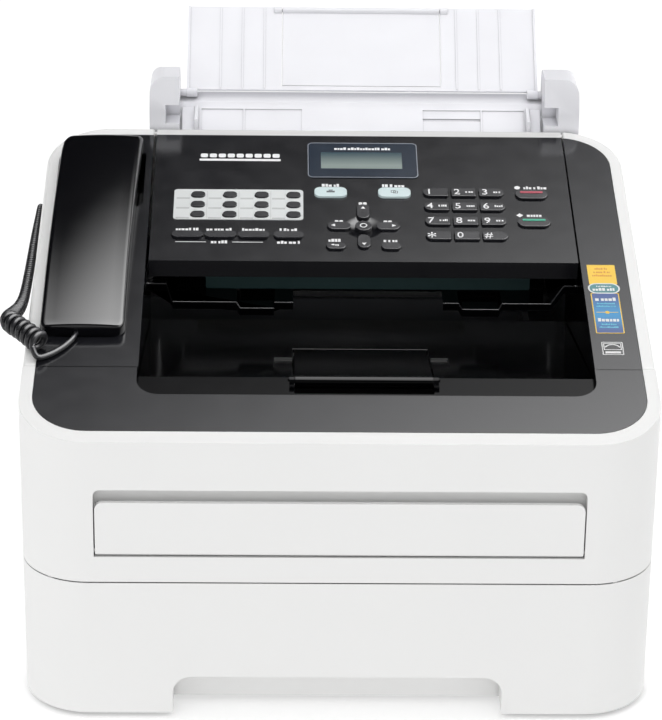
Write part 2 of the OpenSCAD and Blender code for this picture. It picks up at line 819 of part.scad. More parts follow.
module one_touch_keys() {
    color("#303135") {
        key_mat(-93, -20.5, 222.5, 256.5);
        on_deck() for (x = one_touch_x, s = one_touch_s)
            translate([x, s, -4]) linear_extrude(4 + key_proud) key_outline(8.4, 5.8, 2.8, 2.8);
    }
}

module function_keys() {
    color("#303135") {
        key_mat(-102.5, -19.8, 201.5, 210.5);
        on_deck() for (f = function_keys_x)
            translate([(f[0] + f[1]) / 2, function_s, -4]) linear_extrude(4 + key_proud)
                key_outline(f[1] - f[0], 6.8, 3.3, 3.3);
    }
}

// ---- handset ----

// Height of the handset's back at a distance from its front end
function handset_top(d) = handset_h + handset_rise * d - handset_crown * d * d;

module handset_profile() {
    arc_y = handset_len - handset_end_r;
    arc_z = handset_top(arc_y) - handset_end_r;
    polygon(concat(
        [[0, -handset_sink], [0, handset_h - 1]],
        [for (d = [1.2:14:arc_y]) [d, handset_top(d)]],
        [for (turn = [90:-10:0]) [arc_y + handset_end_r * cos(turn), arc_z + handset_end_r * sin(turn)]],
        [[handset_len, -handset_sink]]));
}

// Across the handset: the sides lean in above the deck and below it
module handset_section() {
    half = handset_w / 2;
    polygon([[-half + 1, -handset_sink], [half - 1, -handset_sink], [half, 0], [half - 0.8, 16],
        [-half + 0.8, 16], [-half, 0]]);
}

module handset() {
    half_len = handset_len / 2;
    color(GLOSS) on_deck() translate([handset_x, handset_s, 0]) {
        intersection() {
            translate([0, 0, -handset_sink]) linear_extrude(20)
                round_rect(-handset_w / 2, handset_w / 2, -half_len, half_len, 7);
            translate([0, -half_len, 0]) along_x(-handset_w, handset_w) handset_profile();
            rotate([90, 0, 0]) translate([0, 0, -handset_len])
                linear_extrude(2 * handset_len) handset_section();
        }
        for (s = [-cup_s, cup_s]) translate([0, s, -15]) cylinder(r = cup_r, h = 16);
    }
}

module hook_plunger() {
    color("#d8d8d8") on_deck() translate([handset_x - 4, handset_s + 27, -26]) cube([8, 6, 23.2]);
}

// Path of the cord to the jack: x, s, n and its thickness as a share of the loose loops' radius
CORD = [[-154, 98.6, 2.4, 0.26], [-165.7, 84, 2.4, 0.26], [-172.5, 82.5, 7, 1], [-184, 94.5, 7, 1],
    [-193.6, 105.7, 7, 1], [-194.2, 116, 2, 0.74], [-188.8, 134, -3, 0.55], [-188.3, 165, -6.5, 0.54],
    [-188.3, 232, -16, 0.54], [-188.3, 247, -34, 0.54], [-188.3, 250, -94, 0.54]];

module handset_cord() {
    color(GLOSS) on_deck() for (i = [0:len(CORD) - 2]) hull() {
        for (bead = [CORD[i], CORD[i + 1]])
            translate([bead[0], bead[1], bead[2]]) sphere(cord_r * bead[3], $fn = 14);
    }
}

// ---- document feeder ----

// Frame on the floor of the document tray: Y runs up the floor, Z points out of it
module on_tray_floor() {
    translate([0, tray_floor_y, tray_floor_z]) rotate([tray_lean, 0, 0]) children();
}

// Recess in the floor of the document tray
module tray_recess(x0, x1, y0, y1, depth) {
    on_tray_floor() translate([x0, y0, -depth]) cube([x1 - x0, y1 - y0, depth + 2]);
}

module document_tray() {
    x0 = ear_in_x0 + 0.2;
    x1 = ear_in_x1 - 0.2;
    color(PALE) difference() {
        union() {
            along_x(x0 - 1, x1 + 1) polygon([
                [tray_floor_y, 212], [tray_floor_y, tray_floor_z], [tray_bend_y, tray_bend_z],
                [166.5, 262.8], [175.5, 266.2], [178.4, 266], [178.4, 205]]);
            ear(-120.2, ear_in_x0, 1);
            ear(ear_in_x1, 159.6, -1);
        }
        // hollow underneath
        along_x(x0 + 3, x1 - 3) polygon([
            [tray_floor_y + 2.5, 200], [tray_floor_y + 2.5, tray_floor_z - 3.5], [165, 258], [175.8, 262.6],
            [175.8, 200]]);
        for (panel = [[-87, -59.5], [-58.5, -21], [58.5, 96.5], [97.5, 125]])
            tray_recess(panel[0], panel[1], 12.5, 29.5, 0.8);
        tray_recess(58.5, 96.5, 21.5, 23.5, 1.8);
        translate([0, support_y, support_z]) {
            rod_x(ear_in_x0 - 6.5, ear_in_x0 + 1, 2.56);
            rod_x(ear_in_x1 - 1, ear_in_x1 + 6.5, 2.56);
        }
    }
}

// Side wall of the document tray with a rounded outer top corner and a pocket beside the pivot
module ear(x0, x1, outer) {
    r = 10;
    top = 285;
    inner = outer > 0 ? x1 : x0;
    difference() {
        intersection() {
            translate([0, 178.4, 0]) rotate([90, 0, 0]) linear_extrude(178.4 - tray_floor_y) {
                translate([x0, 205]) square([x1 - x0, top - r - 205]);
                translate([outer > 0 ? x0 + r : x0, top - r - 1]) square([x1 - x0 - r, r + 1]);
                translate([outer > 0 ? x0 + r : x1 - r, top - r]) circle(r);
            }
            along_x(x0, x1) {
                polygon([[tray_floor_y, 212], [178.4, 205], [178.4, top - 8], [170.4, top],
                    [150, top], [tray_floor_y, top - 22]]);
                translate([170.4, top - 8]) circle(8);
            }
        }
        box(inner - 9, inner + 9, tray_floor_y - 1, 160, 256, 268);
    }
}

// Fin and foot of a document guide, drawn for the left side
module guide(x_in, dir) {
    color(PALE) {
        along_x(dir > 0 ? x_in - 2.4 : x_in, dir > 0 ? x_in : x_in + 2.4)
            polygon([[146, 245.4], [162.4, 259.2], [163.4, 261.4], [146, 257.4]]);
        along_x(dir > 0 ? x_in - 10.6 : x_in, dir > 0 ? x_in : x_in + 9.6)
            polygon([[146, 245.4], [162.4, 259.2], [162, 260.6], [146, 247.2]]);
    }
}

module document_guide_left() {
    guide(feed_x - guide_gap / 2, 1);
}

module document_guide_right() {
    guide(feed_x + guide_gap / 2, -1);
}

// Frame of the document support: Y runs up the support, Z points to the front
module on_support() {
    translate([0, support_y, support_z]) rotate([support_lean, 0, 0]) children();
}

module document_support() {
    x0 = support_x0;
    x1 = support_x1;
    f0 = support_flap_x0 - 0.4;
    f1 = support_flap_x1 + 0.4;
    color(PALE) on_support() difference() {
        union() {
            translate([x0, 2, -1.2]) cube([x1 - x0, support_len - 2, 2]);
            translate([x0, -2, -1.2]) cube([7, 6, 2]);
            translate([x1 - 7, -2, -1.2]) cube([7, 6, 2]);
            rod_x(x0, x0 + 7, 3);
            rod_x(x1 - 7, x1, 3);
            rod_x(x0 - 9.4, x0 + 4, 2.5);
            rod_x(x1 - 4, x1 + 8.2, 2.5);
            // ribs on both sides of the flap, and a rim
            for (x = [-74.8, -60.3, -45.8, 81.2, 95.8, 110.3])
                translate([x - 0.5, 3, -1.6]) cube([1, support_len - 4, 3]);
            for (x = [x0, x1 - 1.6]) translate([x, 2, -1.2]) cube([1.6, support_len - 2, 3]);
            for (x = [f0 - 5, f1 + 0.1]) translate([0, support_len - 2.4, 0.4]) rod_x(x, x + 4.9, 2.4);
        }
        translate([f0, 5, -4]) cube([f1 - f0, support_len, 10]);
        translate([0, support_len - 2.4, 0.4]) rod_x(f0 - 4, f1 + 4, bore_r - 0.5);
    }
}

module support_flap() {
    x0 = support_flap_x0;
    x1 = support_flap_x1;
    color(PALE) on_support() {
        translate([x0, 5.4, -1.2]) cube([x1 - x0, support_len - 7.8, 1.8]);
        translate([0, support_len - 2.4, 0.4]) {
            rod_x(x0, x1, 2.2);
            rod_x(x0 - 3.6, x1 + 3.6, pin_r - 0.5);
        }
    }
}

// ---- fasteners and feet ----

module feet() {
    color("#3a3a3c") for (x = [-foot_x, foot_x], y = [-foot_y, foot_y]) translate([x, y, 0])
        cylinder(r = 9, h = foot_h);
}

module screws() {
    color("#b9bbbf") at_back_screws(frame_y1 + 3) {
        translate([0, 0, -12]) cylinder(r = 1.5, h = 13);
        difference() {
            cylinder(r = 3, h = 2.2);
            translate([-2.4, -0.4, 1.2]) cube([4.8, 0.8, 2]);
        }
    }
}

chassis();
left_cover();
right_cover();
back_panel();
rear_cover();
top_bezel();
handset_cradle();
document_tray();
document_guide_left();
document_guide_right();
document_support();
support_flap();
control_panel();
display();
document_shelf();
image_sensor();
output_tray();
output_flap();
front_cover();
front_deck();
manual_feed_cover();
paper_tray();
lift_plate();
pickup_roller();
handset();
handset_cord();
hook_plunger();
drum_unit();
photo_drum();
toner_cartridge();
fuser_unit();
laser_unit();
main_board();
feet();
screws();
one_touch_keys();
function_keys();
for (k = KEYS) key(k);
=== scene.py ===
import json
import math
import random

import bmesh
import bpy
from mathutils import Matrix, Vector


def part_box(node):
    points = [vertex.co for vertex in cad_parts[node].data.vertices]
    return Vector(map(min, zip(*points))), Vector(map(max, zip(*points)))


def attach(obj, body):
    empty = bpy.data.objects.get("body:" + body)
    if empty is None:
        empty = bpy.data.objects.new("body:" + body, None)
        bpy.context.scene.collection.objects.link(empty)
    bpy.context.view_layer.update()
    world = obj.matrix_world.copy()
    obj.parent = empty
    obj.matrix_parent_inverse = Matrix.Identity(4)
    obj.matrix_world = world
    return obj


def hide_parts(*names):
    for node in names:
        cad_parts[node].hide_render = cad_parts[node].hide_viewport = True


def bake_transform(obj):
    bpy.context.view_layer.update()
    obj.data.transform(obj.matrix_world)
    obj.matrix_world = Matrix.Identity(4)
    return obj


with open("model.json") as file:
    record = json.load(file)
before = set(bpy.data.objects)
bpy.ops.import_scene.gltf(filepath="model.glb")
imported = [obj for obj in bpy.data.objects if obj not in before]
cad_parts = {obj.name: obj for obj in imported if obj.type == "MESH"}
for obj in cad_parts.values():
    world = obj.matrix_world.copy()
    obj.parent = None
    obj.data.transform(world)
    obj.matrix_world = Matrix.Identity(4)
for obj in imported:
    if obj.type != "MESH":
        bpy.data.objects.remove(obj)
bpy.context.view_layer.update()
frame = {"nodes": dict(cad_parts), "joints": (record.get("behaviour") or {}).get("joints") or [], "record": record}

MM = 0.001
PRINT = 0.05 * MM          # thickness of printed marks
random.seed(7)
RECORD = frame["record"]
NODE_SLOT = {s["node"]: s["material_slot"] for s in RECORD["subparts"]}
NODE_BODY = {n: b for b, ns in RECORD["behaviour"]["bodies"].items() for n in ns}


# ---------------------------------------------------------------- the sloping deck

def joint(name):
    return next(j for j in frame["joints"] if j["name"] == name)


NORMAL = Vector(joint("handset_lift")["axis"]).normalized()
SLOPE = math.atan2(-NORMAL.y, NORMAL.z)
FRONT_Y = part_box("front_cover")[0].y
DECK_PLANE = max(NORMAL.dot(v.co) for v in frame["nodes"]["front_deck"].data.vertices)
FRONT_Z = (DECK_PLANE - NORMAL.y * FRONT_Y) / NORMAL.z
DECK = Matrix.Translation((0, FRONT_Y, FRONT_Z)) @ Matrix.Rotation(SLOPE, 4, "X")
DECK_INVERSE = DECK.inverted()


def deck_box(node):
    """Lowest and highest corner of a CAD node in the deck's own frame: across, up the slope, out of it."""
    points = [DECK_INVERSE @ v.co for v in frame["nodes"][node].data.vertices]
    low = Vector(min(p[i] for p in points) for i in range(3))
    high = Vector(max(p[i] for p in points) for i in range(3))
    return low, high


# ---------------------------------------------------------------- materials

def tree(name):
    material = bpy.data.materials.new(name)
    material.use_nodes = True
    nodes = material.node_tree.nodes
    links = material.node_tree.links
    return material, nodes, links, nodes["Principled BSDF"]


def noise(nodes, links, coordinates, size, detail=3.0):
    texture = nodes.new("ShaderNodeTexNoise")
    texture.inputs["Scale"].default_value = 1.0 / size
    texture.inputs["Detail"].default_value = detail
    links.new(coordinates, texture.inputs["Vector"])
    return texture.outputs["Fac"]


def ramp(nodes, links, value, low, high, from_low=0.3, from_high=0.7):
    remap = nodes.new("ShaderNodeMapRange")
    remap.inputs["From Min"].default_value = from_low
    remap.inputs["From Max"].default_value = from_high
    remap.inputs["To Min"].default_value = low
    remap.inputs["To Max"].default_value = high
    links.new(value, remap.inputs["Value"])
    return remap.outputs["Result"]


def mix(nodes, links, factor, first, second):
    """Colour mix; first and second are colours or sockets, factor is a socket."""
    node = nodes.new("ShaderNodeMix")
    node.data_type = "RGBA"
    links.new(factor, node.inputs["Factor"])
    for name, value in (("A", first), ("B", second)):
        socket = [s for s in node.inputs if s.name == name and s.type == "RGBA"][0]
        if isinstance(value, bpy.types.NodeSocket):
            links.new(value, socket)
        else:
            socket.default_value = (*value, 1.0)
    return [s for s in node.outputs if s.type == "RGBA"][0]


def tint(colour, factor):
    return tuple(min(1.0, c * factor) for c in colour)


def plastic(name, colour, rough, grain=0.25, grain_size=0.45 * MM, variation=0.04, coat=0.0, metal=0.0,
            shine=0.5, crease_shade=0.0):
    """Moulded plastic: slow colour variation, uneven gloss, a spark-eroded grain and painted shade that darkens
    its creases.
    """
    material, nodes, links, shader = tree(name)
    place = nodes.new("ShaderNodeTexCoord").outputs["Object"]
    slow = noise(nodes, links, place, 60 * MM)
    base = mix(nodes, links, slow, tint(colour, 1 - variation), tint(colour, 1 + variation))
    # painted shade: the base colour darkens where ambient occlusion finds nearby surfaces, in creases and corners
    if crease_shade:
        nearby = nodes.new("ShaderNodeAmbientOcclusion")
        nearby.samples = 6
        nearby.inputs["Distance"].default_value = 5 * MM
        open_share = ramp(nodes, links, nearby.outputs["AO"], 0.0, 1.0, 0.25, 0.85)
        base = mix(nodes, links, open_share, tint(colour, 1 - crease_shade), base)
    links.new(base, shader.inputs["Base Color"])
    smear = noise(nodes, links, place, 14 * MM, 4.0)
    links.new(ramp(nodes, links, smear, rough * 0.9, rough * 1.12), shader.inputs["Roughness"])
    fine = noise(nodes, links, place, grain_size, 2.0)
    bump = nodes.new("ShaderNodeBump")
    bump.inputs["Strength"].default_value = grain
    bump.inputs["Distance"].default_value = 0.06 * MM
    links.new(fine, bump.inputs["Height"])
    links.new(bump.outputs["Normal"], shader.inputs["Normal"])
    shader.inputs["Coat Weight"].default_value = coat
    shader.inputs["Coat Roughness"].default_value = 0.08
    shader.inputs["Metallic"].default_value = metal
    shader.inputs["Specular IOR Level"].default_value = shine
    return material


def parts(material):
    """The material's nodes, links and shader, and the socket that carries its colour."""
    nodes = material.node_tree.nodes
    shader = nodes["Principled BSDF"]
    colour = shader.inputs["Base Color"].links[0].from_socket
    return nodes, material.node_tree.links, shader, colour


def deck_coordinate(nodes, links):
    """Sockets of a point's place across, up and out of the sloping deck, in metres."""
    place = nodes.new("ShaderNodeTexCoord").outputs["Object"]
    mapping = nodes.new("ShaderNodeMapping")
    mapping.vector_type = "TEXTURE"
    mapping.inputs["Location"].default_value = (0, FRONT_Y, FRONT_Z)
    mapping.inputs["Rotation"].default_value = (SLOPE, 0, 0)
    links.new(place, mapping.inputs["Vector"])
    split = nodes.new("ShaderNodeSeparateXYZ")
    links.new(mapping.outputs["Vector"], split.inputs["Vector"])
    return split.outputs["X"], split.outputs["Y"], split.outputs["Z"]


def step(nodes, links, value, edge, softness=0.1 * MM):
    return ramp(nodes, links, value, 0.0, 1.0, edge - softness, edge + softness)


def multiply(nodes, links, first, second):
    node = nodes.new("ShaderNodeMath")
    node.operation = "MULTIPLY"
    links.new(first, node.inputs[0])
    links.new(second, node.inputs[1])
    return node.outputs[0]


WHITE = (0.80, 0.80, 0.795)
COOL_WHITE = (0.80, 0.80, 0.835)
CHARCOAL = (0.0105, 0.0107, 0.0132)
PANEL_BLACK = (0.0075, 0.0076, 0.0095)
KEY_BLACK = (0.014, 0.014, 0.017)
# near black, painted as shade on the walls of the deck's openings
OPENING_SHADE_BLACK = (0.0015, 0.0015, 0.002)
INK = (0.85, 0.85, 0.86)
STICKER_COLOURS = {
    "label_yellow": (0.80, 0.52, 0.04),
    "label_orange": (0.55, 0.22, 0.02),
    "label_green": (0.035, 0.16, 0.17),
    "label_teal": (0.10, 0.45, 0.55),
}


def panel_material():
    """Charcoal panel whose last strip, behind the keys, is moulded in the white of the housing."""
    material = plastic("panel_black", PANEL_BLACK, 0.15, grain=0.05, grain_size=0.5 * MM, shine=0.42)
    nodes, links, shader, dark = parts(material)
    along = deck_coordinate(nodes, links)[1]
    strip = step(nodes, links, along, deck_box("control_panel")[1].y - 8.4 * MM)
    links.new(mix(nodes, links, strip, dark, WHITE), shader.inputs["Base Color"])
    return material


def deck_material():
    """Charcoal deck with painted shade below its surface: the walls of the openings turn near black and lose most
    of their gloss.
    """
    material = plastic("deck_charcoal", CHARCOAL, 0.14, grain=0.05, grain_size=0.5 * MM, shine=0.46)
    nodes, links, shader, base = parts(material)
    above = deck_coordinate(nodes, links)[2]
    # painted shade on the opening walls and ledges more than about a millimetre below the deck surface
    on_top = step(nodes, links, above, -1.2 * MM, 0.5 * MM)
    links.new(mix(nodes, links, on_top, OPENING_SHADE_BLACK, base), shader.inputs["Base Color"])
    shine = ramp(nodes, links, above, 0.08, 0.46, -1.7 * MM, -0.7 * MM)
    links.new(shine, shader.inputs["Specular IOR Level"])
    return material


def board_material():
    """Green circuit board whose sockets, on the side of the housing's wall, are dark plastic."""
    material = plastic("board_green", (0.02, 0.14, 0.06), 0.35, grain=0.2, grain_size=2 * MM)
    nodes, links, shader, green = parts(material)
    across = deck_coordinate(nodes, links)[0]
    board_side = step(nodes, links, across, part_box("main_board")[0].x + 9 * MM)
    links.new(mix(nodes, links, board_side, (0.03, 0.03, 0.034), green), shader.inputs["Base Color"])
    return material


def display_material():
    """Navy window with a grey-green liquid crystal field that is darker towards its upper edge."""
    material = plastic("display_window", (0.012, 0.022, 0.040), 0.14, grain=0.02, coat=0.4)
    nodes, links, shader, dark = parts(material)
    low, high = deck_box("display")
    across, along, above = deck_coordinate(nodes, links)
    left = low.x + 10 * MM
    right = high.x - 11.5 * MM
    bottom = low.y + 12 * MM
    top = bottom + 19 * MM
    inside = step(nodes, links, across, left)
    for value, edge, sign in ((across, right, -1), (along, bottom, 1), (along, top, -1)):
        mask = step(nodes, links, value, edge)
        if sign < 0:
            flip = nodes.new("ShaderNodeMath")
            flip.operation = "SUBTRACT"
            flip.inputs[0].default_value = 1.0
            links.new(mask, flip.inputs[1])
            mask = flip.outputs[0]
        inside = multiply(nodes, links, inside, mask)
    fade = ramp(nodes, links, along, 0.0, 1.0, bottom + 4 * MM, top - 1 * MM)
    field = mix(nodes, links, fade, (0.30, 0.36, 0.34), (0.045, 0.085, 0.105))
    links.new(mix(nodes, links, inside, dark, field), shader.inputs["Base Color"])
    return material


def sticker_material():
    """Blue sticker whose two halves each run from navy at the top to a lighter blue at the bottom."""
    material = plastic("label_blue", (0.01, 0.04, 0.16), 0.4, grain=0.02)
    nodes, links, shader, dark = parts(material)
    along = deck_coordinate(nodes, links)[1]
    wave = nodes.new("ShaderNodeMath")
    wave.operation = "PINGPONG"
    wave.inputs[1].default_value = 21 * MM
    links.new(along, wave.inputs[0])
    fade = ramp(nodes, links, wave.outputs[0], 1.0, 0.0, 2 * MM, 17 * MM)
    links.new(mix(nodes, links, fade, dark, (0.01, 0.20, 0.42)), shader.inputs["Base Color"])
    return material


def make_materials():
    """One material for each slot of the record, then those of the prints, lenses and stickers."""
    rubber_grain = 0.8 * MM
    return {
        # the white shell and the feeder get painted shade in their creases
        "shell": plastic("shell_white", WHITE, 0.46, grain=0.22, grain_size=0.5 * MM, variation=0.012,
                         crease_shade=0.3),
        "feeder_white": plastic("feeder_white", COOL_WHITE, 0.5, grain=0.2, variation=0.015, crease_shade=0.45),
        "deck_charcoal": deck_material(),
        # near black; also used for the plates and discs of painted shade in the jacks, sound holes and seams
        "well_black": plastic("well_black", (0.0008, 0.0008, 0.0011), 0.11, grain=0.02, shine=0.16),
        "handset_black": plastic("handset_black", (0.003, 0.003, 0.004), 0.10, grain=0.02),
        "cord_black": plastic("cord_black", (0.010, 0.010, 0.012), 0.28, grain=0.05),
        "display_blue": display_material(),
        "sensor_glass": plastic("sensor_glass", (0.02, 0.06, 0.06), 0.1, grain=0.02, coat=0.6),
        "key_dark": plastic("key_dark", KEY_BLACK, 0.2, grain=0.05, grain_size=0.35 * MM),
        "key_pale": plastic("key_pale", (0.62, 0.74, 0.75), 0.35, grain=0.1, coat=0.3),
        "key_red": plastic("key_stop_dark", KEY_BLACK, 0.2, grain=0.05),
        "key_green": plastic("key_start_dark", KEY_BLACK, 0.2, grain=0.05),
        "chassis_steel": plastic("zinc_steel", (0.55, 0.56, 0.58), 0.38, grain=0.2, grain_size=1.5 * MM,
                                 metal=0.9),
        "screw_steel": plastic("screw_steel", (0.6, 0.6, 0.62), 0.3, grain=0.1, metal=1.0),
        "engine_grey": plastic("engine_grey", (0.13, 0.135, 0.145), 0.45, grain=0.35),
        "engine_dark": plastic("engine_dark", (0.03, 0.03, 0.034), 0.4, grain=0.35),
        "drum_green": plastic("drum_coating", (0.03, 0.20, 0.18), 0.12, grain=0.0, coat=0.6),
        "board_green": board_material(),
        "roller_rubber": plastic("roller_rubber", (0.035, 0.035, 0.038), 0.8, 0.6, rubber_grain),
        "foot_rubber": plastic("foot_rubber", (0.04, 0.04, 0.043), 0.8, 0.5, rubber_grain),
        "panel": panel_material(),
        "ink": plastic("white_print", INK, 0.6, grain=0.05),
        "dark_ink": plastic("dark_print", (0.05, 0.06, 0.07), 0.5, grain=0.05),
        "red_lens": plastic("red_lens", (0.42, 0.035, 0.07), 0.25, grain=0.02, coat=0.5),
        "green_lens": plastic("green_lens", (0.01, 0.36, 0.22), 0.25, grain=0.02, coat=0.5),
        "label_plate": plastic("label_plate", (0.66, 0.68, 0.68), 0.4, grain=0.1),
        "window_line": plastic("window_line", (0.22, 0.24, 0.28), 0.35, grain=0.02),
        "label_line": plastic("label_line", (0.46, 0.47, 0.47), 0.4, grain=0.05),
        "edge_gloss": plastic("edge_gloss", (0.02, 0.02, 0.023), 0.15, grain=0.0, shine=1.0),
        "teal_mesh": plastic("teal_mesh", (0.010, 0.042, 0.044), 0.6, grain=1.0, grain_size=1.2 * MM),
        "label_blue": sticker_material(),
        "contact_gold": plastic("contact_gold", (0.6, 0.42, 0.12), 0.3, grain=0.02, metal=1.0),
        "label_white": plastic("label_white", (0.7, 0.7, 0.7), 0.45, grain=0.02),
        **{name: plastic(name, colour, 0.4, grain=0.02) for name, colour in STICKER_COLOURS.items()},
    }


MATERIALS = make_materials()


# ---------------------------------------------------------------- meshes

def mesh_from(bm, name):
    """Turns a bmesh into a mesh and frees it."""
    mesh = bpy.data.meshes.new(name)
    bm.to_mesh(mesh)
    bm.free()
    return mesh


def loft(bm, rings):
    """Skins rings of points, each with the same count, and closes both ends."""
    rows = [[bm.verts.new(point) for point in ring] for ring in rings]
    for a, b in zip(rows, rows[1:]):
        for i in range(len(a)):
            j = (i + 1) % len(a)
            bm.faces.new((a[i], a[j], b[j], b[i]))
    bm.faces.new(list(reversed(rows[0])))
    bm.faces.new(rows[-1])
    bmesh.ops.recalc_face_normals(bm, faces=bm.faces)


def new_piece(name, mesh, finish, node):
    """A mesh in the material called finish, riding on the body that holds a CAD node."""
    piece = bpy.data.objects.new(name, mesh)
    bpy.context.scene.collection.objects.link(piece)
    mesh.materials.clear()
    mesh.materials.append(MATERIALS[finish])
    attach(piece, NODE_BODY[node])
    return piece


def shade(mesh, angle=32):
    mesh.shade_smooth()
    mesh.set_sharp_from_angle(angle=math.radians(angle))


def clean_copy(node):
    """The CAD node as a bmesh with split corners joined and flat areas merged."""
    bm = bmesh.new()
    bm.from_mesh(frame["nodes"][node].data)
    bmesh.ops.remove_doubles(bm, verts=bm.verts, dist=0.002 * MM)
    bmesh.ops.dissolve_limit(bm, angle_limit=math.radians(0.6), verts=bm.verts, edges=bm.edges)
    return bm


def sharp_edges(bm, test=None, angle=28):
    limit = math.radians(angle)
    found = []
    for edge in bm.edges:
        if len(edge.link_faces) == 2 and edge.calc_face_angle(0.0) > limit:
            middle = (edge.verts[0].co + edge.verts[1].co) / 2
            if test is None or test(middle, edge):
                found.append(edge)
    return found


def bevel(bm, edges, width, segments):
    if edges:
        bmesh.ops.bevel(bm, geom=edges, offset=width, segments=segments, profile=0.5, affect="EDGES",
                        clamp_overlap=True, loop_slide=True)


def soften(node, width=0.5 * MM, segments=2, big=None, finish=None):
    """A copy of the CAD node with rounded edges, in its place. big = (test, width, segments) goes first."""
    bm = clean_copy(node)
    if big:
        test, big_width, big_segments = big
        bevel(bm, sharp_edges(bm, test), big_width, big_segments)
    bevel(bm, sharp_edges(bm), width, segments)
    mesh = mesh_from(bm, node + "_finish")
    shade(mesh)
    slot = NODE_SLOT[node]
    piece = new_piece(node + "_finish", mesh, finish or slot, node)
    weighted = piece.modifiers.new("weighted", "WEIGHTED_NORMAL")
    weighted.keep_sharp = True
    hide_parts(node)
    return piece


def finish_cad(node):
    """A CAD node inside the housing keeps its own mesh and gets its material."""
    thing = frame["nodes"][node]
    thing.data.materials.clear()
    thing.data.materials.append(MATERIALS[NODE_SLOT[node]])


def prism(bm, outline, low, high):
    """A closed prism from a flat outline, between two heights."""
    bottom = [bm.verts.new((x, y, low)) for x, y in outline]
    top = [bm.verts.new((x, y, high)) for x, y in outline]
    count = len(outline)
    bm.faces.new(list(reversed(bottom)))
    bm.faces.new(top)
    for i in range(count):
        j = (i + 1) % count
        bm.faces.new((bottom[i], bottom[j], top[j], top[i]))


def arc(cx, cy, radius, start, end, steps=8):
    turns = [math.radians(start + (end - start) * i / steps) for i in range(steps + 1)]
    return [(cx + radius * math.cos(a), cy + radius * math.sin(a)) for a in turns]


def rounded(cx, cy, width, height, radius):
    """Outline of a rounded rectangle round a centre."""
    radius = min(radius, width / 2 - 1e-6, height / 2 - 1e-6)
    dx = width / 2 - radius
    dy = height / 2 - radius
    outline = []
    for sx, sy, start in ((1, 1, 0), (-1, 1, 90), (-1, -1, 180), (1, -1, 270)):
        outline += arc(cx + sx * dx, cy + sy * dy, radius, start, start + 90, 6)
    return outline


def deck_print(name, outlines, finish, node, height, thickness=PRINT):
    """Flat shapes lying on the deck plane or a key top. Outlines are in metres across and up the deck."""
    bm = bmesh.new()
    for outline in outlines:
        prism(bm, outline, height, height + thickness)
    bm.transform(DECK)
    return new_piece(name, mesh_from(bm, name), finish, node)


def glyph(name, text, size, cx, cy, height, node):
    """A character from Blender's own font, laid on a key as a thin raised print."""
    curve = bpy.data.curves.new(name, "FONT")
    curve.body = text
    curve.size = size
    curve.align_x = "CENTER"
    curve.align_y = "CENTER"
    curve.extrude = 0.04 * MM
    curve.offset = 0.06 * MM
    curve.resolution_u = 4
    holder = bpy.data.objects.new(name + "_curve", curve)
    bpy.context.scene.collection.objects.link(holder)
    bpy.context.view_layer.update()
    mesh = bpy.data.meshes.new_from_object(holder)
    bpy.data.objects.remove(holder)
    mesh.transform(DECK @ Matrix.Translation((cx, cy, height)))
    return new_piece(name, mesh, "ink", node)


# ---------------------------------------------------------------- housing

CORNER_X = 144 * MM        # centre of the housing's rounded corners, across
FRONT_CORNER_Y = -140 * MM
REAR_CORNER_Y = 100 * MM


def outer_rim(middle, edge):
    """Edges where the sloping deck plane meets the outside of the housing."""
    normals = [f.normal for f in edge.link_faces]
    on_deck = abs(NORMAL.dot(middle) - DECK_PLANE) < 0.3 * MM
    wall = any(abs(n.z) < 0.02 for n in normals)
    plate = any(n.dot(NORMAL) > 0.99 for n in normals)
    local = DECK_INVERSE @ middle
    outside = abs(middle.x) > 177.5 * MM or local.y < 6 * MM or local.y > 325 * MM
    corner = math.hypot(abs(middle.x) - CORNER_X, min(0, middle.y - FRONT_CORNER_Y)) > 36 * MM
    rear = math.hypot(abs(middle.x) - CORNER_X, max(0, middle.y - REAR_CORNER_Y)) > 37.5 * MM
    return on_deck and wall and plate and (outside or corner or rear)


def edge_strips(name, node, radius, least_up):
    """Rounded, glossy beads along the front upper edges of a CAD node, which catch the light."""
    source = clean_copy(node)
    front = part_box(node)[0].y
    bm = bmesh.new()
    for edge in source.edges:
        if len(edge.link_faces) != 2 or edge.calc_length() < 2 * MM:
            continue
        a, b = (v.co for v in edge.verts)
        normals = [f.normal for f in edge.link_faces]
        if max(abs(a.y - front), abs(b.y - front)) > 0.2 * MM:
            continue
        if min(n.y for n in normals) > -0.9 or max(n.z for n in normals) < least_up:
            continue
        turn = (b - a).to_track_quat("Z", "Y").to_matrix().to_4x4()
        bead = Matrix.Translation((a + b) / 2) @ turn
        bmesh.ops.create_cone(bm, cap_ends=True, segments=10, radius1=radius, radius2=radius,
                              depth=(b - a).length, matrix=bead)
    source.free()
    mesh = mesh_from(bm, name)
    shade(mesh, 40)
    new_piece(name, mesh, "edge_gloss", node)


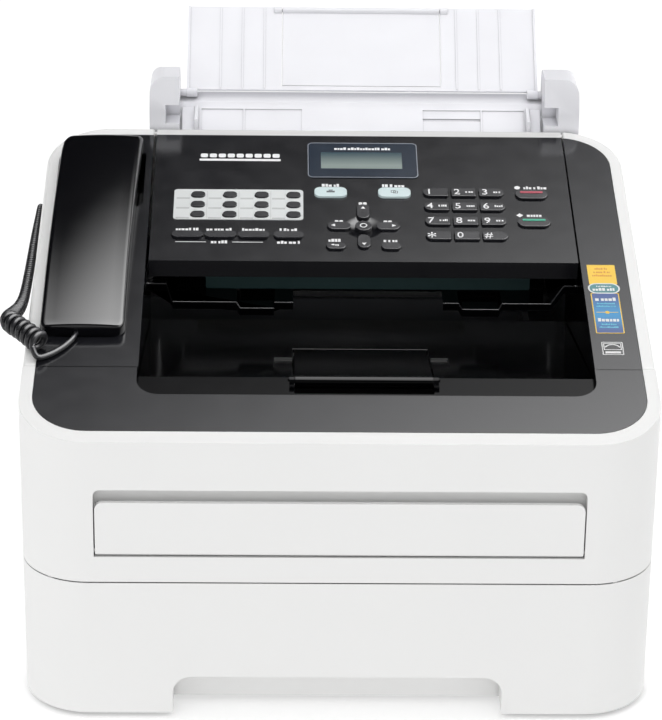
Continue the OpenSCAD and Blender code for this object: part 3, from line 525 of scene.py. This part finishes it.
def build_housing():
    for node in ("left_cover", "right_cover", "front_cover"):
        soften(node, 0.45 * MM, 2, big=(outer_rim, 3.4 * MM, 5))
    soften("paper_tray", 0.5 * MM, 2)
    soften("back_panel", 0.6 * MM, 2)
    soften("rear_cover", 0.7 * MM, 2)
    soften("manual_feed_cover", 0.6 * MM, 2)
    soften("handset_cradle", 0.35 * MM, 2)
    for node in ("top_bezel", "front_deck"):
        soften(node, 0.65 * MM, 3)
    for node in ("output_tray", "output_flap", "document_shelf"):
        soften(node, 0.6 * MM, 3)
    seam = (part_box("front_deck")[1].y - FRONT_Y) / math.cos(SLOPE)
    outer = deck_box("front_deck")[1].x - 0.4 * MM
    low, high = deck_box("output_tray")
    shadow = [bar(-outer, low.x - 1 * MM, seam - 0.6 * MM, seam + 0.1 * MM),
              bar(outer, high.x + 1 * MM, seam - 0.6 * MM, seam + 0.1 * MM)]
    deck_print("seam_shadow", shadow, "well_black", "front_deck", 0.0, 0.03 * MM)
    edge_strips("tray_crest", "output_tray", 0.4 * MM, 0.9)
    edge_strips("shelf_edges", "document_shelf", 0.4 * MM, 0.3)


def build_feeder():
    soften("document_tray", 1.2 * MM, 3)
    for node in ("document_guide_left", "document_guide_right"):
        soften(node, 0.5 * MM, 2)
    for node in ("document_support", "support_flap"):
        soften(node, 0.3 * MM, 2)


# ---------------------------------------------------------------- control panel

KEY_NODES = [n for n in frame["nodes"] if n.startswith("key_")]
CAPTION = 3.1 * MM         # height of the captions


def key_place(node):
    """Centre, size and top height of a key on the deck."""
    low, high = deck_box(node)
    return (low.x + high.x) / 2, (low.y + high.y) / 2, high.x - low.x, high.y - low.y, high.z


def bar(x0, x1, y0, y1):
    return [(x0, y0), (x1, y0), (x1, y1), (x0, y1)]


def ghost_words(centre, base, length, height):
    """Letter-like blocks that stand for a printed word without spelling anything."""
    outlines = []
    x = centre - length / 2
    end = centre + length / 2
    while x < end - 0.2 * height:
        width = min(random.choice((0.42, 0.52, 0.62)) * height, end - x)
        tall = height * random.choice((0.74, 0.74, 1.0))
        outlines.append(bar(x, x + width, base, base + tall))
        x += width + random.choice((0.14, 0.14, 0.14, 0.4)) * height
    return outlines


def triangle(cx, cy, size, turn):
    corners = [(0, 1), (-0.95, -0.7), (0.95, -0.7)]
    cos = math.cos(math.radians(turn))
    sin = math.sin(math.radians(turn))
    return [(cx + size * (x * cos - y * sin), cy + size * (x * sin + y * cos)) for x, y in corners]


def ring_band(name, outer, inner, finish, node, height, thickness=PRINT):
    """A flat closed band between two outlines with the same number of points."""
    bm = bmesh.new()
    count = len(outer)
    rows = []
    for outline, level in ((outer, 0), (inner, 0), (inner, thickness), (outer, thickness)):
        rows.append([bm.verts.new((x, y, height + level)) for x, y in outline])
    for r in range(4):
        a = rows[r]
        b = rows[(r + 1) % 4]
        for i in range(count):
            j = (i + 1) % count
            bm.faces.new((a[i], b[i], b[j], a[j]))
    bmesh.ops.recalc_face_normals(bm, faces=bm.faces)
    bm.transform(DECK)
    return new_piece(name, mesh_from(bm, name), finish, node)


def build_digits():
    """White figures on the left of each number key, with a short mark on its right."""
    figures = {"star": "*", "hash": "#"}
    for node in KEY_NODES:
        text = node[len("key_"):]
        text = figures.get(text, text)
        if len(text) > 1:
            continue
        cx, cy, width, depth, top = key_place(node)
        size = 8.4 * MM
        drop = 0.0
        if text == "*":
            size = 13 * MM
            drop = -2.5 * MM
        body = NODE_BODY[node]
        glyph("figure_" + body, text, size, cx - 0.24 * width, cy + drop, top, node)
        if text in "23456789":
            blocks = ghost_words(cx + 0.22 * width, cy - 0.8 * MM, 5.0 * MM, 2.1 * MM)
            deck_print("mark_" + body, blocks, "ink", node, top)


def build_arrows():
    for node, turn in (("key_up", 0), ("key_left", 90), ("key_down", 180), ("key_right", 270)):
        cx, cy, width, depth, top = key_place(node)
        reach = 0.22 * max(width, depth)
        angle = math.radians(turn + 90)
        at = (cx + reach * math.cos(angle), cy + reach * math.sin(angle))
        deck_print("arrow_" + node[4:], [triangle(*at, 1.5 * MM, turn)], "ink", node, top)


def build_key_bars():
    """The lit bars on the stop and start keys, and small icons on the pale, clear and middle keys."""
    for node, lens in (("key_stop", "red_lens"), ("key_start", "green_lens")):
        cx, cy, width, depth, top = key_place(node)
        outline = rounded(cx, cy + 0.14 * depth, 0.66 * width, 0.17 * depth, 0.8 * MM)
        deck_print("lens_" + node[4:], [outline], lens, node, top, 0.25 * MM)
    cx, cy, width, depth, top = key_place("key_fax")
    sheet = [bar(cx - 2.6 * MM, cx + 2.6 * MM, cy - 1.2 * MM, cy + 0.6 * MM),
             bar(cx - 1.3 * MM, cx + 1.3 * MM, cy + 0.9 * MM, cy + 1.9 * MM)]
    deck_print("icon_fax", sheet, "dark_ink", "key_fax", top)
    cx, cy, width, depth, top = key_place("key_copy")
    for name, shift in (("icon_copy_rear", 0.7 * MM), ("icon_copy_front", -0.7 * MM)):
        outer = rounded(cx + shift, cy - shift * 0.5, 3.0 * MM, 2.6 * MM, 0.2 * MM)
        inner = rounded(cx + shift, cy - shift * 0.5, 2.2 * MM, 1.8 * MM, 0.1 * MM)
        ring_band(name, outer, inner, "dark_ink", "key_copy", top)
    cx, cy, width, depth, top = key_place("key_clear")
    hook = [triangle(cx - 2.0 * MM, cy + 0.5 * MM, 1.1 * MM, 90),
            bar(cx - 1.2 * MM, cx + 1.8 * MM, cy + 0.25 * MM, cy + 0.75 * MM),
            bar(cx + 1.3 * MM, cx + 1.8 * MM, cy - 0.9 * MM, cy + 0.25 * MM),
            bar(cx - 0.6 * MM, cx + 1.3 * MM, cy - 0.9 * MM, cy - 0.4 * MM)]
    deck_print("icon_clear", hook, "ink", "key_clear", top)
    cx, cy, width, depth, top = key_place("key_ok")
    outer = rounded(cx, cy, 4.6 * MM, 4.6 * MM, 2.3 * MM)
    inner = rounded(cx, cy, 3.4 * MM, 3.4 * MM, 1.7 * MM)
    ring_band("icon_ok", outer, inner, "ink", "key_ok", top)


def build_captions():
    """Word-like captions round the keys, where a real panel is printed."""
    shapes = []
    for node, length, shift in (("key_fax", 11, 0), ("key_copy", 15, 0), ("key_stop", 15, 3),
                                ("key_start", 10, 1), ("key_clear", 9, 0), ("key_menu", 9, 0)):
        cx, cy, width, depth, top = key_place(node)
        shapes += ghost_words(cx + shift * MM, cy + depth / 2 + 1.6 * MM, length * MM, CAPTION)
    low, high = deck_box("function_keys")
    keys = [low.x + 10 * MM, low.x + 30 * MM, low.x + 51 * MM, high.x - 10 * MM]
    middle = (low.y + high.y) / 2
    for cx, length in zip(keys, (14, 16, 14, 11)):
        shapes += ghost_words(cx, middle + 5.2 * MM, length * MM, CAPTION)
    lower = middle - 8.4 * MM
    shapes += ghost_words(keys[1], lower, 10 * MM, CAPTION)
    shapes += ghost_words(keys[3], lower, 14 * MM, CAPTION)
    for x0, x1 in ((keys[0] - 7 * MM, keys[1] - 8 * MM), (keys[1] + 8 * MM, keys[2] + 6 * MM)):
        shapes.append(bar(x0, x1, lower + 1.2 * MM, lower + 1.75 * MM))
    plate = key_place("one_touch_keys")
    sign_left = plate[0] - 30 * MM
    sign_base = plate[1] + plate[3] / 2 + 34 * MM
    shapes.append(rounded(sign_left + 26 * MM, sign_base + 1.4 * MM, 52 * MM, 2.4 * MM, 0.6 * MM))
    for i in range(9):
        block_x = sign_left + (3 + 5.75 * i) * MM
        shapes.append(rounded(block_x, sign_base + 6.4 * MM, 4.6 * MM, 4.4 * MM, 1.1 * MM))
    for node, dy in (("key_up", 1), ("key_left", 0.9), ("key_right", 0.9)):
        cx, cy, width, depth, top = key_place(node)
        base = cy + dy * (depth / 2 + 2.2 * MM)
        for side in (-1, 1):
            shapes.append(rounded(cx + side * 1.4 * MM, base, 2.3 * MM, 2.8 * MM, 0.7 * MM))
    for node in ("key_stop", "key_start"):
        cx, cy, width, depth, top = key_place(node)
        at = (cx - 8.4 * MM, cy + depth / 2 + 3.2 * MM)
        if node == "key_stop":
            shapes.append(arc(*at, 1.9 * MM, 0, 330, 11))
        else:
            shapes.append(arc(*at, 2.2 * MM, 0, 270, 3))
    deck_print("panel_captions", shapes, "ink", "control_panel", 0.0, 0.06 * MM)


def build_label_plate():
    """Pale label plate with a hole for each one-touch key, and a darker strip under each row."""
    low, high = deck_box("one_touch_keys")
    left = low.x - 8.6 * MM
    thickness = 0.5 * MM
    key_x = [left + (15.0 + 19.97 * i) * MM for i in range(4)]
    key_y = [high.y - (6.1 + 11.0 * i) * MM for i in range(3)]
    middle = (low.y + high.y) / 2 + 0.6 * MM
    outline = rounded((left + high.x) / 2, middle, high.x - left, high.y - low.y - 0.4 * MM, 2.4 * MM)
    bm = bmesh.new()
    prism(bm, outline, 0.02 * MM, thickness)
    bm.transform(DECK)
    plate = new_piece("label_plate", mesh_from(bm, "label_plate"), "label_plate", "control_panel")
    bm = bmesh.new()
    for x in key_x:
        for y in key_y:
            prism(bm, rounded(x, y, 9.2 * MM, 6.6 * MM, 3.2 * MM), -1 * MM, 2 * MM)
    bm.transform(DECK)
    cutter = bpy.data.objects.new("label_holes", mesh_from(bm, "label_holes"))
    bpy.context.scene.collection.objects.link(cutter)
    cut = plate.modifiers.new("holes", "BOOLEAN")
    cut.operation = "DIFFERENCE"
    cut.solver = "EXACT"
    cut.object = cutter
    bpy.context.view_layer.update()
    evaluated = plate.evaluated_get(bpy.context.evaluated_depsgraph_get())
    plate.data = bpy.data.meshes.new_from_object(evaluated)
    plate.modifiers.clear()
    bpy.data.objects.remove(cutter)
    strips = []
    for x in key_x:
        for y in key_y:
            strips.append(bar(x - 13.4 * MM, x - 5.2 * MM, y - 4.6 * MM, y - 2.9 * MM))
        if x != key_x[0]:
            strips.append(bar(x - 14.35 * MM, x - 14.1 * MM, key_y[-1] - 4.6 * MM, key_y[0] + 4.6 * MM))
    deck_print("label_strips", strips, "label_line", "control_panel", thickness, 0.03 * MM)


def build_window_frame():
    low, high = deck_box("display")
    cx = (low.x + high.x) / 2
    cy = (low.y + high.y) / 2
    width = high.x - low.x - 3.6 * MM
    depth = high.y - low.y - 3.6 * MM
    outer = rounded(cx, cy, width + 0.5 * MM, depth + 0.5 * MM, 3.4 * MM)
    inner = rounded(cx, cy, width - 0.5 * MM, depth - 0.5 * MM, 2.9 * MM)
    ring_band("window_frame", outer, inner, "window_line", "display", high.z - 0.1 * MM, 0.25 * MM)
    words = ghost_words(cx, cy + 0.3 * depth, 36 * MM, 2.8 * MM)
    deck_print("window_caption", words, "ink", "display", high.z)


def build_panel():
    soften("control_panel", 0.45 * MM, 2, finish="panel")
    soften("display", 0.5 * MM, 2)
    for node in KEY_NODES + ["one_touch_keys", "function_keys"]:
        soften(node, 0.6 * MM, 3)
    build_digits()
    build_arrows()
    build_key_bars()
    build_captions()
    build_label_plate()
    build_window_frame()


# ---------------------------------------------------------------- stickers and strip

def build_stickers():
    """Plain coloured stickers with word-like marks but no lettering, on the right-hand strip of the deck."""
    low, high = deck_box("top_bezel")
    cx = low.x + 12.2 * MM

    def flat(name, finish, level, outlines):
        deck_print(name, outlines, finish, "top_bezel", 0.02 * MM + PRINT * level)

    def words(rows):
        blocks = []
        for s, length, height in rows:
            blocks += ghost_words(cx, s * MM, length * MM, height * MM)
        return blocks

    flat("sticker_yellow", "label_yellow", 0, [rounded(cx, 166.8 * MM, 17 * MM, 20.4 * MM, 0.6 * MM)])
    flat("sticker_edge", "label_yellow", 0, [rounded(cx, 127 * MM, 17 * MM, 41 * MM, 0.8 * MM)])
    flat("sticker_blue", "label_blue", 1, [rounded(cx, 127 * MM, 15.8 * MM, 39.8 * MM, 0.6 * MM)])
    flat("sticker_oval", "label_white", 2, [rounded(cx, 152.2 * MM, 19.4 * MM, 10.8 * MM, 5.3 * MM)])
    flat("sticker_oval_field", "label_green", 3, [rounded(cx, 152.2 * MM, 17.4 * MM, 8.8 * MM, 4.3 * MM)])
    flat("sticker_yellow_marks", "label_orange", 1,
         words(((172, 8, 1.9), (168.4, 10, 1.9), (164.8, 12, 1.9))))
    flat("sticker_blue_marks", "label_white", 2, words(((139.3, 12.5, 3.4), (118.3, 12.5, 3.4))))
    flat("sticker_small_marks", "label_teal", 2,
         words(((136.0, 11, 1.3), (133.2, 12, 1.3), (114.8, 9, 1.3), (112.0, 12, 1.3))))
    flat("sticker_rule", "label_yellow", 2, [bar(cx - 6.5 * MM, cx + 6.5 * MM, 127.4 * MM, 127.9 * MM),
                                             arc(cx, 127.6 * MM, 1.4 * MM, 0, 330, 11)])
    flat("sticker_oval_marks", "label_white", 4, words(((153.6, 9, 1.2), (149.6, 14, 2.8))))
    badge = 91.6 * MM
    for name, width, depth, shift in (("badge_frame", 12.6, 12.6, 0), ("badge_window", 10.6, 6.6, 1.8)):
        ring_band(name, rounded(cx, badge + shift * MM, width * MM, depth * MM, 0.6 * MM),
                  rounded(cx, badge + shift * MM, (width - 1.1) * MM, (depth - 1.1) * MM, 0.4 * MM),
                  "label_white", "top_bezel", 0.02 * MM)
    sweep = arc(cx, badge - 1 * MM, 5.2 * MM, 25, 155, 10) + arc(cx, badge - 1 * MM, 4.4 * MM, 155, 25, 10)
    base = bar(cx - 4.6 * MM, cx + 4.6 * MM, badge - 4.9 * MM, badge - 2.9 * MM)
    flat("badge_marks", "label_white", 0, [sweep, base])


def build_brush():
    """Dark green felt-like strip over the document exit, under the panel."""
    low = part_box("document_shelf")[0]
    bm = bmesh.new()
    outline = rounded(20 * MM, low.z + 14.4 * MM, 202 * MM, 10.6 * MM, 1.2 * MM)
    prism(bm, outline, 0, 0.8 * MM)
    bm.transform(Matrix.Translation((0, low.y + 23.2 * MM, 0)) @ Matrix.Rotation(math.radians(90), 4, "X"))
    new_piece("sheet_brush", mesh_from(bm, "sheet_brush"), "teal_mesh", "document_shelf")


# ---------------------------------------------------------------- inside

PLATE = 0.12 * MM          # thickness of the plates that show the jacks


def side_plates(name, plates, side, finish):
    """Thin plates on the left side of the housing; each is y0, y1, z0, z1."""
    bm = bmesh.new()
    for y0, y1, z0, z1 in plates:
        outline = [(y0, z0), (y1, z0), (y1, z1), (y0, z1)]
        loft(bm, [[(x, y, z) for y, z in outline] for x in (side, side - PLATE)])
    new_piece(name, mesh_from(bm, name), finish, "main_board")


def build_jacks():
    """Openings and spring contacts of the sockets that show through the left side; the openings are near-black
    plates of painted shade.
    """
    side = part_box("main_board")[0].x
    board = frame["nodes"]["main_board"].data
    corners = sorted((v.co.y, v.co.z) for v in board.vertices if v.co.x < side + 0.1 * MM)
    sockets = [[corners[0]]]
    for corner in corners[1:]:
        if corner[0] - sockets[-1][-1][0] > 2 * MM and len(sockets[-1]) >= 4:
            sockets.append([])
        sockets[-1].append(corner)
    shaded_openings = []
    contacts = []
    for socket in sockets:
        y0 = min(y for y, z in socket)
        y1 = max(y for y, z in socket)
        z0 = min(z for y, z in socket)
        z1 = max(z for y, z in socket)
        middle = (y0 + y1) / 2
        # painted shade: dark plates stand in for the shadowed inside of each socket
        shaded_openings.append((y0 + 2.0 * MM, y1 - 2.0 * MM, z0 + 2.6 * MM, z1 - 1.2 * MM))
        shaded_openings.append((middle - 1.8 * MM, middle + 1.8 * MM, z0 + 1.0 * MM, z0 + 2.6 * MM))
        for i in range(4):
            y = middle + (i - 1.5) * 1.3 * MM
            contacts.append((y - 0.3 * MM, y + 0.3 * MM, z1 - 3.2 * MM, z1 - 1.2 * MM))
    side_plates("jack_opening_shades", shaded_openings, side, "well_black")
    side_plates("jack_contacts", contacts, side - PLATE, "contact_gold")


def build_inside():
    build_jacks()
    for node in ("chassis", "image_sensor", "lift_plate", "pickup_roller", "hook_plunger", "drum_unit",
                 "photo_drum", "toner_cartridge", "fuser_unit", "laser_unit", "main_board", "feet", "screws"):
        finish_cad(node)


# ---------------------------------------------------------------- handset and cord

def corner_inset(distance, radius):
    """How far a rounded corner has pulled in at a distance from the end it turns into."""
    if distance >= radius:
        return 0.0
    return radius - math.sqrt(max(0.0, radius * radius - (radius - distance) ** 2))


def handset_section(left, right, flare_left, flare_right, top, bottom, edge, corner_edge):
    """Closed outline across the handset: flat bottom, sides that widen over the deck and a crowned top."""
    skirt = 0.9 * MM
    lean = 0.5 * MM
    left_top = left + flare_left
    right_top = right + flare_right
    points = [(-left + 1.0 * MM, bottom), (right - 1.0 * MM, bottom), (right, 0.0)]
    points.append((right + flare_right * 0.8, skirt))
    points += arc(right_top - lean - corner_edge, top - corner_edge, corner_edge, 0, 80, 7)
    inner_left = -left_top + lean + edge + 1.0 * MM
    inner_right = right_top - lean - corner_edge - 1.0 * MM
    for i in range(0, 9):
        x = inner_right + (inner_left - inner_right) * i / 8
        points.append((x, top + 0.75 * MM * (1 - (1 - i / 4) ** 2)))
    points += arc(-left_top + lean + edge, top - edge, edge, 100, 180, 6)
    points += [(-left - flare_left * 0.8, skirt), (-left, 0.0)]
    return points


def build_handset():
    """One long bar whose back climbs from the front face, levels out and rolls over at the rear."""
    low, high = deck_box("handset")
    cx = (low.x + high.x) / 2
    half = (high.x - low.x) / 2
    front, rear = low.y, high.y
    length = rear - front
    rise = 0.09
    crown = 0.325
    end_radius = 9 * MM
    bottom = -2.4 * MM
    front_height = high.z - rise * rise / (4 * crown) - 0.6 * MM

    def back(d):
        """Height of the back at a distance from the front face."""
        turn = length - end_radius
        if d <= turn:
            return front_height + rise * d - crown * d * d
        return back(turn) - corner_inset(length - d, end_radius) * 0.97

    stops = [0, 0.25, 0.8, 1.8, 3.0, 4.6, 6.6]
    middle = [length / MM * i / 26 for i in range(2, 24)]
    ends = [length / MM - d for d in (13, 10, 8.4, 6.8, 5.2, 3.8, 2.6, 1.6, 0.8, 0.3, 0.05)]
    chamfer = {0: 0.9, 0.25: 0.55}
    rings = []
    for d in stops + middle + ends:
        top = back(d * MM) - chamfer.get(d, 0.0) * MM
        to_rear = length - d * MM
        left = half - 0.6 * corner_inset(d * MM, 6 * MM) - corner_inset(to_rear, 17 * MM)
        right = half - 0.6 * corner_inset(d * MM, 6 * MM) - corner_inset(to_rear, 6 * MM)
        share = max(0.0, (d - 50) / (length / MM - 50)) ** 1.5
        flare_left = (2.6 - 2.0 * share) * MM
        flare_right = (1.4 + 3.9 * share) * MM
        corner_edge = (2.0 + 2.2 * share) * MM
        section = handset_section(left, right, flare_left, flare_right, top, bottom, 2.0 * MM, corner_edge)
        rings.append([(cx + x, front + d * MM, max(n, bottom)) for x, n in section])
    bm = bmesh.new()
    loft(bm, rings)
    bm.transform(DECK)
    mesh = mesh_from(bm, "handset_shell")
    shade(mesh, 38)
    shell = new_piece("handset_shell", mesh, "handset_black", "handset")
    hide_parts("handset")
    build_cups(cx, front, rear, bottom, low.z)


def build_cups(cx, front, rear, top, bottom):
    """Ear and mouth cups under the handset: turned forms with a dished face, and sound holes in it drawn as
    near-black discs of painted shade.
    """
    radius = 19.4 * MM
    inset = 26.8 * MM
    # radius less that of the cup, and height over its face
    profile = [(0, 1.6), (-0.5, 0.5), (-1.7, 0), (-4, 0.2), (-7, 1.1), (-15.4, 1.7), (-19.39, 1.8)]
    profile = [(radius, top + 0.5 * MM)] + [(radius + r * MM, bottom + n * MM) for r, n in profile]
    for name, y in (("mouth_cup", front + inset), ("ear_cup", rear - inset)):
        bm = bmesh.new()
        loft(bm, [[(px, py, n) for px, py in arc(cx, y, r, 0, 354.375, 63)] for r, n in profile])
        bm.transform(DECK)
        mesh = mesh_from(bm, name)
        shade(mesh, 40)
        new_piece(name, mesh, "handset_black", "handset")
        holes = []
        for count, ring in ((1, 0), (6, 3.0 * MM), (12, 6.0 * MM)):
            for i in range(count):
                turn = 2 * math.pi * i / count
                at = (cx + ring * math.cos(turn), y + ring * math.sin(turn))
                holes.append(arc(*at, 0.8 * MM, 0, 330, 11))
        # painted shade: the sound holes are near-black discs, not openings
        deck_print(name + "_holes", holes, "well_black", "handset", bottom + 1.2 * MM, 0.3 * MM)


def catmull(points, per_span):
    """A smooth run through the points; each point is a tuple of numbers."""

    def between(a, b, c, d, u):
        square = 2 * a - 5 * b + 4 * c - d
        cube = 3 * b - a - 3 * c + d
        return 0.5 * (2 * b + (c - a) * u + square * u * u + cube * u ** 3)

    padded = [points[0]] + list(points) + [points[-1]]
    run = []
    for i in range(1, len(padded) - 2):
        for part in range(per_span):
            u = part / per_span
            run.append(tuple(between(*values, u) for values in zip(*padded[i - 1:i + 3])))
    run.append(tuple(points[-1]))
    return run


def along_frames(points):
    """Carries a pair of side directions along a run of points without twisting."""
    tangents = []
    for i in range(len(points)):
        tangents.append((points[min(i + 1, len(points) - 1)] - points[max(i - 1, 0)]).normalized())
    side = tangents[0].cross(Vector((0, 0, 1))).normalized()
    frames = []
    for tangent in tangents:
        side = (side - tangent * side.dot(tangent)).normalized()
        frames.append((tangent, side, tangent.cross(side)))
    return frames


def tube_mesh(name, points, radii, sides):
    """A round tube along the points, with its own radius at each."""
    turns = [2 * math.pi * k / sides for k in range(sides)]
    rings = []
    for point, radius, (tangent, side, other) in zip(points, radii, along_frames(points)):
        rings.append([point + radius * (side * math.cos(a) + other * math.sin(a)) for a in turns])
    bm = bmesh.new()
    loft(bm, rings)
    mesh = mesh_from(bm, name)
    mesh.shade_smooth()
    return mesh


def coil_points(core, samples):
    """Points of a helix round a core run of (x, y, z, coil radius, pitch, wire radius)."""
    places = [Vector(c[:3]) for c in core]
    frames = along_frames(places)
    points = []
    wires = []
    angle = math.pi
    for i in range(len(places) - 1):
        span = (places[i + 1] - places[i]).length
        steps = max(2, int(span / core[i][4] * samples))
        for k in range(steps):
            u = k / steps
            tangent, side, other = frames[i]
            tangent2, side2, other2 = frames[i + 1]
            centre = places[i].lerp(places[i + 1], u)
            radius = core[i][3] * (1 - u) + core[i + 1][3] * u
            s = side.lerp(side2, u).normalized()
            o = other.lerp(other2, u).normalized()
            points.append(centre + radius * (s * math.cos(angle) + o * math.sin(angle)))
            wires.append(core[i][5] * (1 - u) + core[i + 1][5] * u)
            pitch = core[i][4] * (1 - u) + core[i + 1][4] * u
            angle += 2 * math.pi * span / steps / pitch
    return points, wires


def on_deck(place):
    """A point given across, up the slope and out of the deck, in millimetres."""
    return DECK @ Vector([value * MM for value in place])


def build_cord():
    """The coiled cord: a lead from the handset, loose loops at the corner, then a close coil to the jack."""
    # across, up the slope, height, coil radius, pitch, wire radius
    loops = [(-174.6, 84.0, 7.2, 5.5, 5.0, 1.9), (-179.0, 89.2, 7.2, 5.2, 4.9, 1.85),
             (-185.4, 96.6, 7.2, 5.0, 4.8, 1.8), (-192.2, 104.6, 6.4, 4.9, 4.4, 1.75),
             (-194.2, 113.0, 3.4, 4.1, 3.4, 1.55), (-192.6, 122.0, 0.4, 3.5, 2.9, 1.35),
             (-190.2, 133.0, -2.6, 2.9, 2.6, 1.2), (-188.6, 148.0, -5.0, 2.3, 2.4, 1.1),
             (-187.7, 175.0, -6.5, 2.0, 2.4, 1.05), (-187.2, 208.0, -8.0, 1.7, 2.4, 1.0),
             (-186.7, 238.0, -10.0, 1.3, 2.5, 0.95), (-186.4, 256.0, -13.0, 1.0, 2.6, 0.95),
             (-186.3, 262.0, -28.0, 1.0, 2.8, 0.95), (-186.3, 259.0, -58.0, 1.0, 3.0, 0.95),
             (-186.3, 250.0, -84.0, 0.8, 3.2, 0.95)]
    core = []
    for x, s, n, radius, pitch, wire in catmull(loops, 6):
        core.append((*on_deck((x, s, n)), radius * MM, pitch * MM, wire * MM))
    coil, coil_wires = coil_points(core, 18)
    lead = [on_deck(p) for p in ((-154.0, 103.0, 2.2), (-156.0, 96.0, 2.0), (-161.5, 87.0, 2.0),
                                 (-169.0, 79.5, 2.1), (-175.6, 76.2, 2.9))]
    lead_points = [Vector(p) for p in catmull([tuple(p) for p in lead + coil[:2]], 8)[:-9]]
    tail = [on_deck(p) for p in ((-186.1, 245.6, -95), (-185.6, 243.2, -101.5), (-182.0, 242.5, -103.5))]
    tail_points = [Vector(p) for p in catmull([tuple(p) for p in [coil[-1]] + tail], 6)[1:]]
    lead_wires = [(1.55 + 0.35 * i / len(lead_points)) * MM for i in range(len(lead_points))]
    wires = lead_wires + coil_wires + [1.0 * MM] * len(tail_points)
    mesh = tube_mesh("coiled_cord", lead_points + coil + tail_points, wires, 9)
    cord = bpy.data.objects.new("coiled_cord", mesh)
    bpy.context.scene.collection.objects.link(cord)
    cord.data.materials.append(MATERIALS["cord_black"])
    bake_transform(cord)
    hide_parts("handset_cord")


# ---------------------------------------------------------------- stage

def smooth_step(nodes, links, value, low, high):
    remap = nodes.new("ShaderNodeMapRange")
    remap.interpolation_type = "SMOOTHSTEP"
    remap.inputs["From Min"].default_value = low
    remap.inputs["From Max"].default_value = high
    links.new(value, remap.inputs["Value"])
    return remap.outputs["Result"]


def weighted_sum(nodes, links, terms, constant=0.0):
    """constant + the sum of value * weight for each (value socket, weight)."""
    total = None
    for value, weight in terms:
        node = nodes.new("ShaderNodeMath")
        node.operation = "MULTIPLY_ADD"
        links.new(value, node.inputs[0])
        node.inputs[1].default_value = weight
        if total is None:
            node.inputs[2].default_value = constant
        else:
            links.new(total, node.inputs[2])
        total = node.outputs[0]
    return total


def build_studio():
    """White surroundings, in which gloss sees a softbox overhead, a pale horizon and a lit right side."""
    world = bpy.data.worlds.new("studio")
    bpy.context.scene.world = world
    world.use_nodes = True
    world.cycles.sampling_method = "NONE"
    nodes = world.node_tree.nodes
    links = world.node_tree.links
    background = nodes["Background"]
    split = nodes.new("ShaderNodeSeparateXYZ")
    links.new(nodes.new("ShaderNodeTexCoord").outputs["Generated"], split.inputs["Vector"])
    x, y, z = split.outputs
    paths = nodes.new("ShaderNodeLightPath")

    softbox = smooth_step(nodes, links, weighted_sum(nodes, links, [(z, 1.0), (x, 0.35)]), 0.72, 0.95)
    front = smooth_step(nodes, links, weighted_sum(nodes, links, [(y, -1.0)]), 0.0, 0.6)
    horizon = smooth_step(nodes, links, weighted_sum(nodes, links, [(z, -1.0)]), -0.24, -0.02)
    right = smooth_step(nodes, links, x, 0.3, 0.8)
    terms = [(softbox, 8.8), (front, 0.1), (horizon, 1.3), (right, 2.2)]
    glossy = weighted_sum(nodes, links, terms, 0.01)
    diffuse = weighted_sum(nodes, links, [(x, -0.10), (y, -0.08), (z, 0.04)], 0.84)

    def choose(ray, if_not, if_so):
        node = nodes.new("ShaderNodeMix")
        links.new(ray, node.inputs["Factor"])
        for name, value in (("A", if_not), ("B", if_so)):
            if isinstance(value, float):
                node.inputs[name].default_value = value
            else:
                links.new(value, node.inputs[name])
        return node.outputs["Result"]

    strength = choose(paths.outputs["Is Glossy Ray"], diffuse, glossy)
    strength = choose(paths.outputs["Is Camera Ray"], strength, 1.0)
    links.new(strength, background.inputs["Strength"])
    background.inputs["Color"].default_value = (1, 1, 1, 1)
    bpy.context.scene.view_settings.view_transform = "Standard"


def build_floor():
    size = 6.0
    mesh = bpy.data.meshes.new("floor")
    corners = [(-size, -size, 0), (size, -size, 0), (size, size, 0), (-size, size, 0)]
    mesh.from_pydata(corners, [], [(0, 1, 2, 3)])
    floor = bpy.data.objects.new("floor", mesh)
    bpy.context.scene.collection.objects.link(floor)
    material, nodes, links, shader = tree("floor_white")
    shader.inputs["Base Color"].default_value = (0.88, 0.88, 0.88, 1)
    shader.inputs["Roughness"].default_value = 0.95
    shader.inputs["Specular IOR Level"].default_value = 0.0
    shader.inputs["Emission Color"].default_value = (1, 1, 1, 1)
    shader.inputs["Emission Strength"].default_value = 0.28
    mesh.materials.append(material)


def build_lamp():
    """A weak soft light from the front left, aimed at the middle of the machine."""
    data = bpy.data.lights.new("key_light", "AREA")
    data.shape = "RECTANGLE"
    data.size = 1.2
    data.size_y = 1.0
    data.energy = 3.0
    lamp = bpy.data.objects.new("key_light", data)
    place = Vector((-0.9, -1.3, 1.7))
    lamp.location = place
    lamp.rotation_euler = (Vector((0, 0, 0.15)) - place).to_track_quat("-Z", "Y").to_euler()
    bpy.context.scene.collection.objects.link(lamp)


def build_camera():
    """A long lens in front of the machine, a little to its left, looking down at it."""
    pitch = math.radians(23.43)
    yaw = math.radians(1.16)
    roll = math.radians(-0.81)
    data = bpy.data.cameras.new("camera")
    data.sensor_width = 36.0
    data.lens = 146.7
    data.clip_start = 0.05
    data.clip_end = 50
    camera = bpy.data.objects.new("camera", data)
    right = Vector((math.cos(yaw), -math.sin(yaw), 0))
    forward = Vector((math.sin(yaw) * math.cos(pitch), math.cos(yaw) * math.cos(pitch), -math.sin(pitch)))
    up = right.cross(forward)
    side = right * math.cos(roll) - up * math.sin(roll)
    top = right * math.sin(roll) + up * math.cos(roll)
    basis = Matrix((side, top, -forward)).transposed().to_4x4()
    camera.matrix_world = Matrix.Translation((-0.0367, FRONT_Y - 1.4928, 0.8754)) @ basis
    bpy.context.scene.collection.objects.link(camera)
    bpy.context.scene.camera = camera


build_housing()
build_feeder()
build_panel()
build_inside()
build_handset()
build_cord()
build_stickers()
build_brush()
build_floor()
build_studio()
build_lamp()
build_camera()
